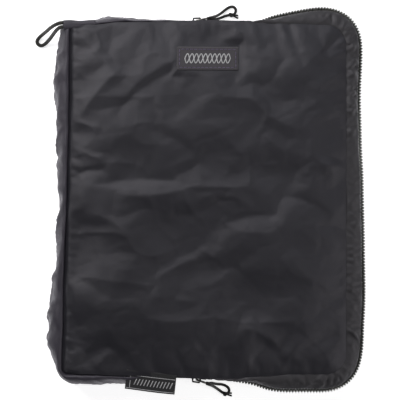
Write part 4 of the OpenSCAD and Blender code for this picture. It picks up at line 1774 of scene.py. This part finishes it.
@dataclass
class Pouch:
    """The whole pouch, put together from its parts."""

    finishes: Finishes
    fold: tuple = ((-0.025, 0, 0), (-0.017, 0, 0))
    edge_fold: tuple = ((-0.025, 0, 0.022), (-0.0228, 0, 0.02557))
    strip_fold: tuple = ((0.002, 0, 0.0175), (0.0022255, 0, 0.020603))
    zip_fold: tuple = ((0.002, 0, 0), (0.045, 0, 0))

    def __post_init__(self) -> None:
        """Takes the main sizes from the frame."""
        low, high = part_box("back_panel")
        front_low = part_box("front_panel")[0].z
        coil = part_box("front_zip_coil")[1]
        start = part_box("back_zip_strip")[0].x
        self.back_z, self.front_z = high.z, front_low
        self.outline = Outline(high.x, high.y, coil.x, start)

    def settle(self, piece: bpy.types.Object, slot: str, node: str = "", bend: Optional[tuple] = None) -> None:
        """Dresses a piece on the root body, or bakes its transform in place if it has a bend."""
        dress(piece, Body.ROOT, (node,) if node else (), bend)

    def cords(self) -> None:
        """The hanging loop and both pull cords with their knots."""
        f = self.finishes
        Cord("hanging_loop_cord", LOOP_ROUTE, 2.2 * MM, Body.ROOT, "hanging_loop", "loop_cord", f.loop_cord,
             520.0).build(())
        for edge, route, centre, turn in ((Edge.TOP, TOP_ROUTE, (15.1, 108.6, 1.75), -15),
                                          (Edge.BOTTOM, BOTTOM_ROUTE, (11.2, -114.3, 1.75), -8)):
            side = edge.name.lower()
            body = Body[f"{edge.name}_PULL"]
            knot = Knot(f"{side}_pull_cord_knot", centre, turn, body, f"{side}_pull_knot", f.pull_cord).build()
            Cord(f"{side}_pull_loop", route, 1.7 * MM, body, f"{side}_pull_cord", "pull_cord",
                 f.pull_cord).build([knot])

    def cloths(self) -> None:
        """Front and back cloth, gussets and bindings."""
        f, o = self.finishes, self.outline
        front = FrontCloth(o, self.front_z, f.shell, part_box("front_label"))
        piece = front.build()
        surface = Surface(piece)
        dress(piece, Body.ROOT, ("front_panel", "front_flap"), self.fold)
        back = BackCloth(f.shell, 0.0, front).build()
        self.settle(back, "shell_nylon", "back_panel")
        for name, gusset in Gussets(o, f.gusset).build().items():
            node = name.replace("_cloth", "")
            self.settle(gusset, "gusset_nylon", node, None if node == "spine_gusset" else self.edge_fold)
        self.bindings()
        self.labels(surface)

    def bindings(self) -> None:
        """The three bindings inside the seams."""
        f, o = self.finishes, self.outline
        zip_side, soft_side = o.zip_side(), o.gusset_side()
        binding = Binding(f.binding)
        zip_seam, zip_out = zip_side["seam"], outwards(zip_side["seam"])
        soft_seam, soft_out = soft_side["seam"], outwards(soft_side["seam"])
        back_soft = soft_seam - soft_side["front_shift"]
        zip_front = zip_seam + o.front_shift(zip_seam)
        low = self.front_z - binding.height - 2.1 * MM
        piece = binding.build("flap_binding_tape", zip_front[1:-1], zip_out[1:-1], low)
        dress(piece, Body.COVER, ("flap_seam_binding",))
        keep = soft_seam[:, 0] < -21.5 * MM
        piece = binding.build("front_binding_tape", soft_seam[keep], soft_out[keep], low)
        self.settle(piece, "seam_binding", "front_seam_binding")
        ring = np.vstack([zip_seam, back_soft])
        ring_out = np.vstack([zip_out, soft_out])
        piece = binding.build("back_binding_tape", ring, ring_out, self.back_z + 0.1 * MM)
        self.settle(piece, "seam_binding", "back_seam_binding")

    def zip(self) -> None:
        """The zip side with its strips, tapes and coils."""
        f = self.finishes
        side = ZipSide(self.outline, f.strip, f.tape, f.coil, f.thread, self.back_z, self.front_z)
        pieces = side.build()
        self.settle(pieces["front_strip_cloth"], "gusset_nylon", "front_zip_strip", self.strip_fold)
        self.settle(pieces["back_strip_cloth"], "gusset_nylon", "back_zip_strip")
        self.settle(side.strip_stitches("front_strip_stitches", Half.FRONT), "gusset_nylon", "", self.strip_fold)
        self.settle(side.strip_stitches("back_strip_stitches", Half.BACK), "gusset_nylon")
        for kind, node, end_node in (("tape_band", "zip_tape", "zip_end"), ("coil_wire", "zip_coil", "")):
            self.settle(pieces[f"front_zip_{kind}"], node, f"front_{node}", self.zip_fold)
            self.settle(pieces[f"back_zip_{kind}"], node, f"back_{node}")
            for edge in Edge:
                end = edge.name.lower()
                self.settle(pieces[f"front_zip_{end}_end_{kind}"], node, end_node and f"{end}_{end_node}")
                self.settle(pieces[f"back_zip_{end}_end_{kind}"], node)

    def hardware(self) -> None:
        """Sliders, pull tabs and end stops."""
        casting = Hardware(self.finishes.enamel)
        for edge in Edge:
            side = edge.name.lower()
            casting.build(f"{side}_slider", Body[f"{edge.name}_SLIDER"])
            casting.build(f"{side}_pull_tab", Body[f"{edge.name}_PULL"])
            stop = bpy.data.objects[f"{side}_end_stop"]
            stop.data.materials.clear()
            stop.data.materials.append(self.finishes.coil)

    def labels(self, surface: Surface) -> None:
        """Both labels and the sleeve of the hanging loop."""
        f = self.finishes
        labels = Labels(f.label, f.label_thread, f.black, f.pale, f.gusset)
        for piece, nodes in zip(labels.front(surface), (("front_label",), (), ())):
            dress(piece, Body.COVER, nodes)
        for piece, node in zip(labels.seam(), ("seam_label", "")):
            self.settle(piece, "seam_label_weave", node)
        self.settle(labels.sleeve(), "gusset_nylon", "loop_sleeve")


def plain(box: object) -> list:
    """A box as plain lists of numbers."""
    return [[float(v) for v in corner] for corner in box]


def main(cad_box: list) -> None:
    """Builds the studio and the pouch.

    Args:
        cad_box: the CAD model's box, not used.
    """
    logging.basicConfig(level=logging.INFO, format="%(name)s: %(message)s")
    finishes = Finishes()
    Studio(finishes.paper).build()
    pouch = Pouch(finishes)
    for stage in (pouch.cords, pouch.cloths, pouch.zip, pouch.hardware):
        stage()
        LOG.info("%s done", stage.__name__)


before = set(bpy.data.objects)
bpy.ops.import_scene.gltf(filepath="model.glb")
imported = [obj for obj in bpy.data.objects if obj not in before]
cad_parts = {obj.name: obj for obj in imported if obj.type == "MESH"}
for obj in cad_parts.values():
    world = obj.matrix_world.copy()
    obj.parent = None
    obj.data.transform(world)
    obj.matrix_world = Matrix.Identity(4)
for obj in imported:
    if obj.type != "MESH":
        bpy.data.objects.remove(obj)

if __name__ == "__main__":
    main(plain(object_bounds()))
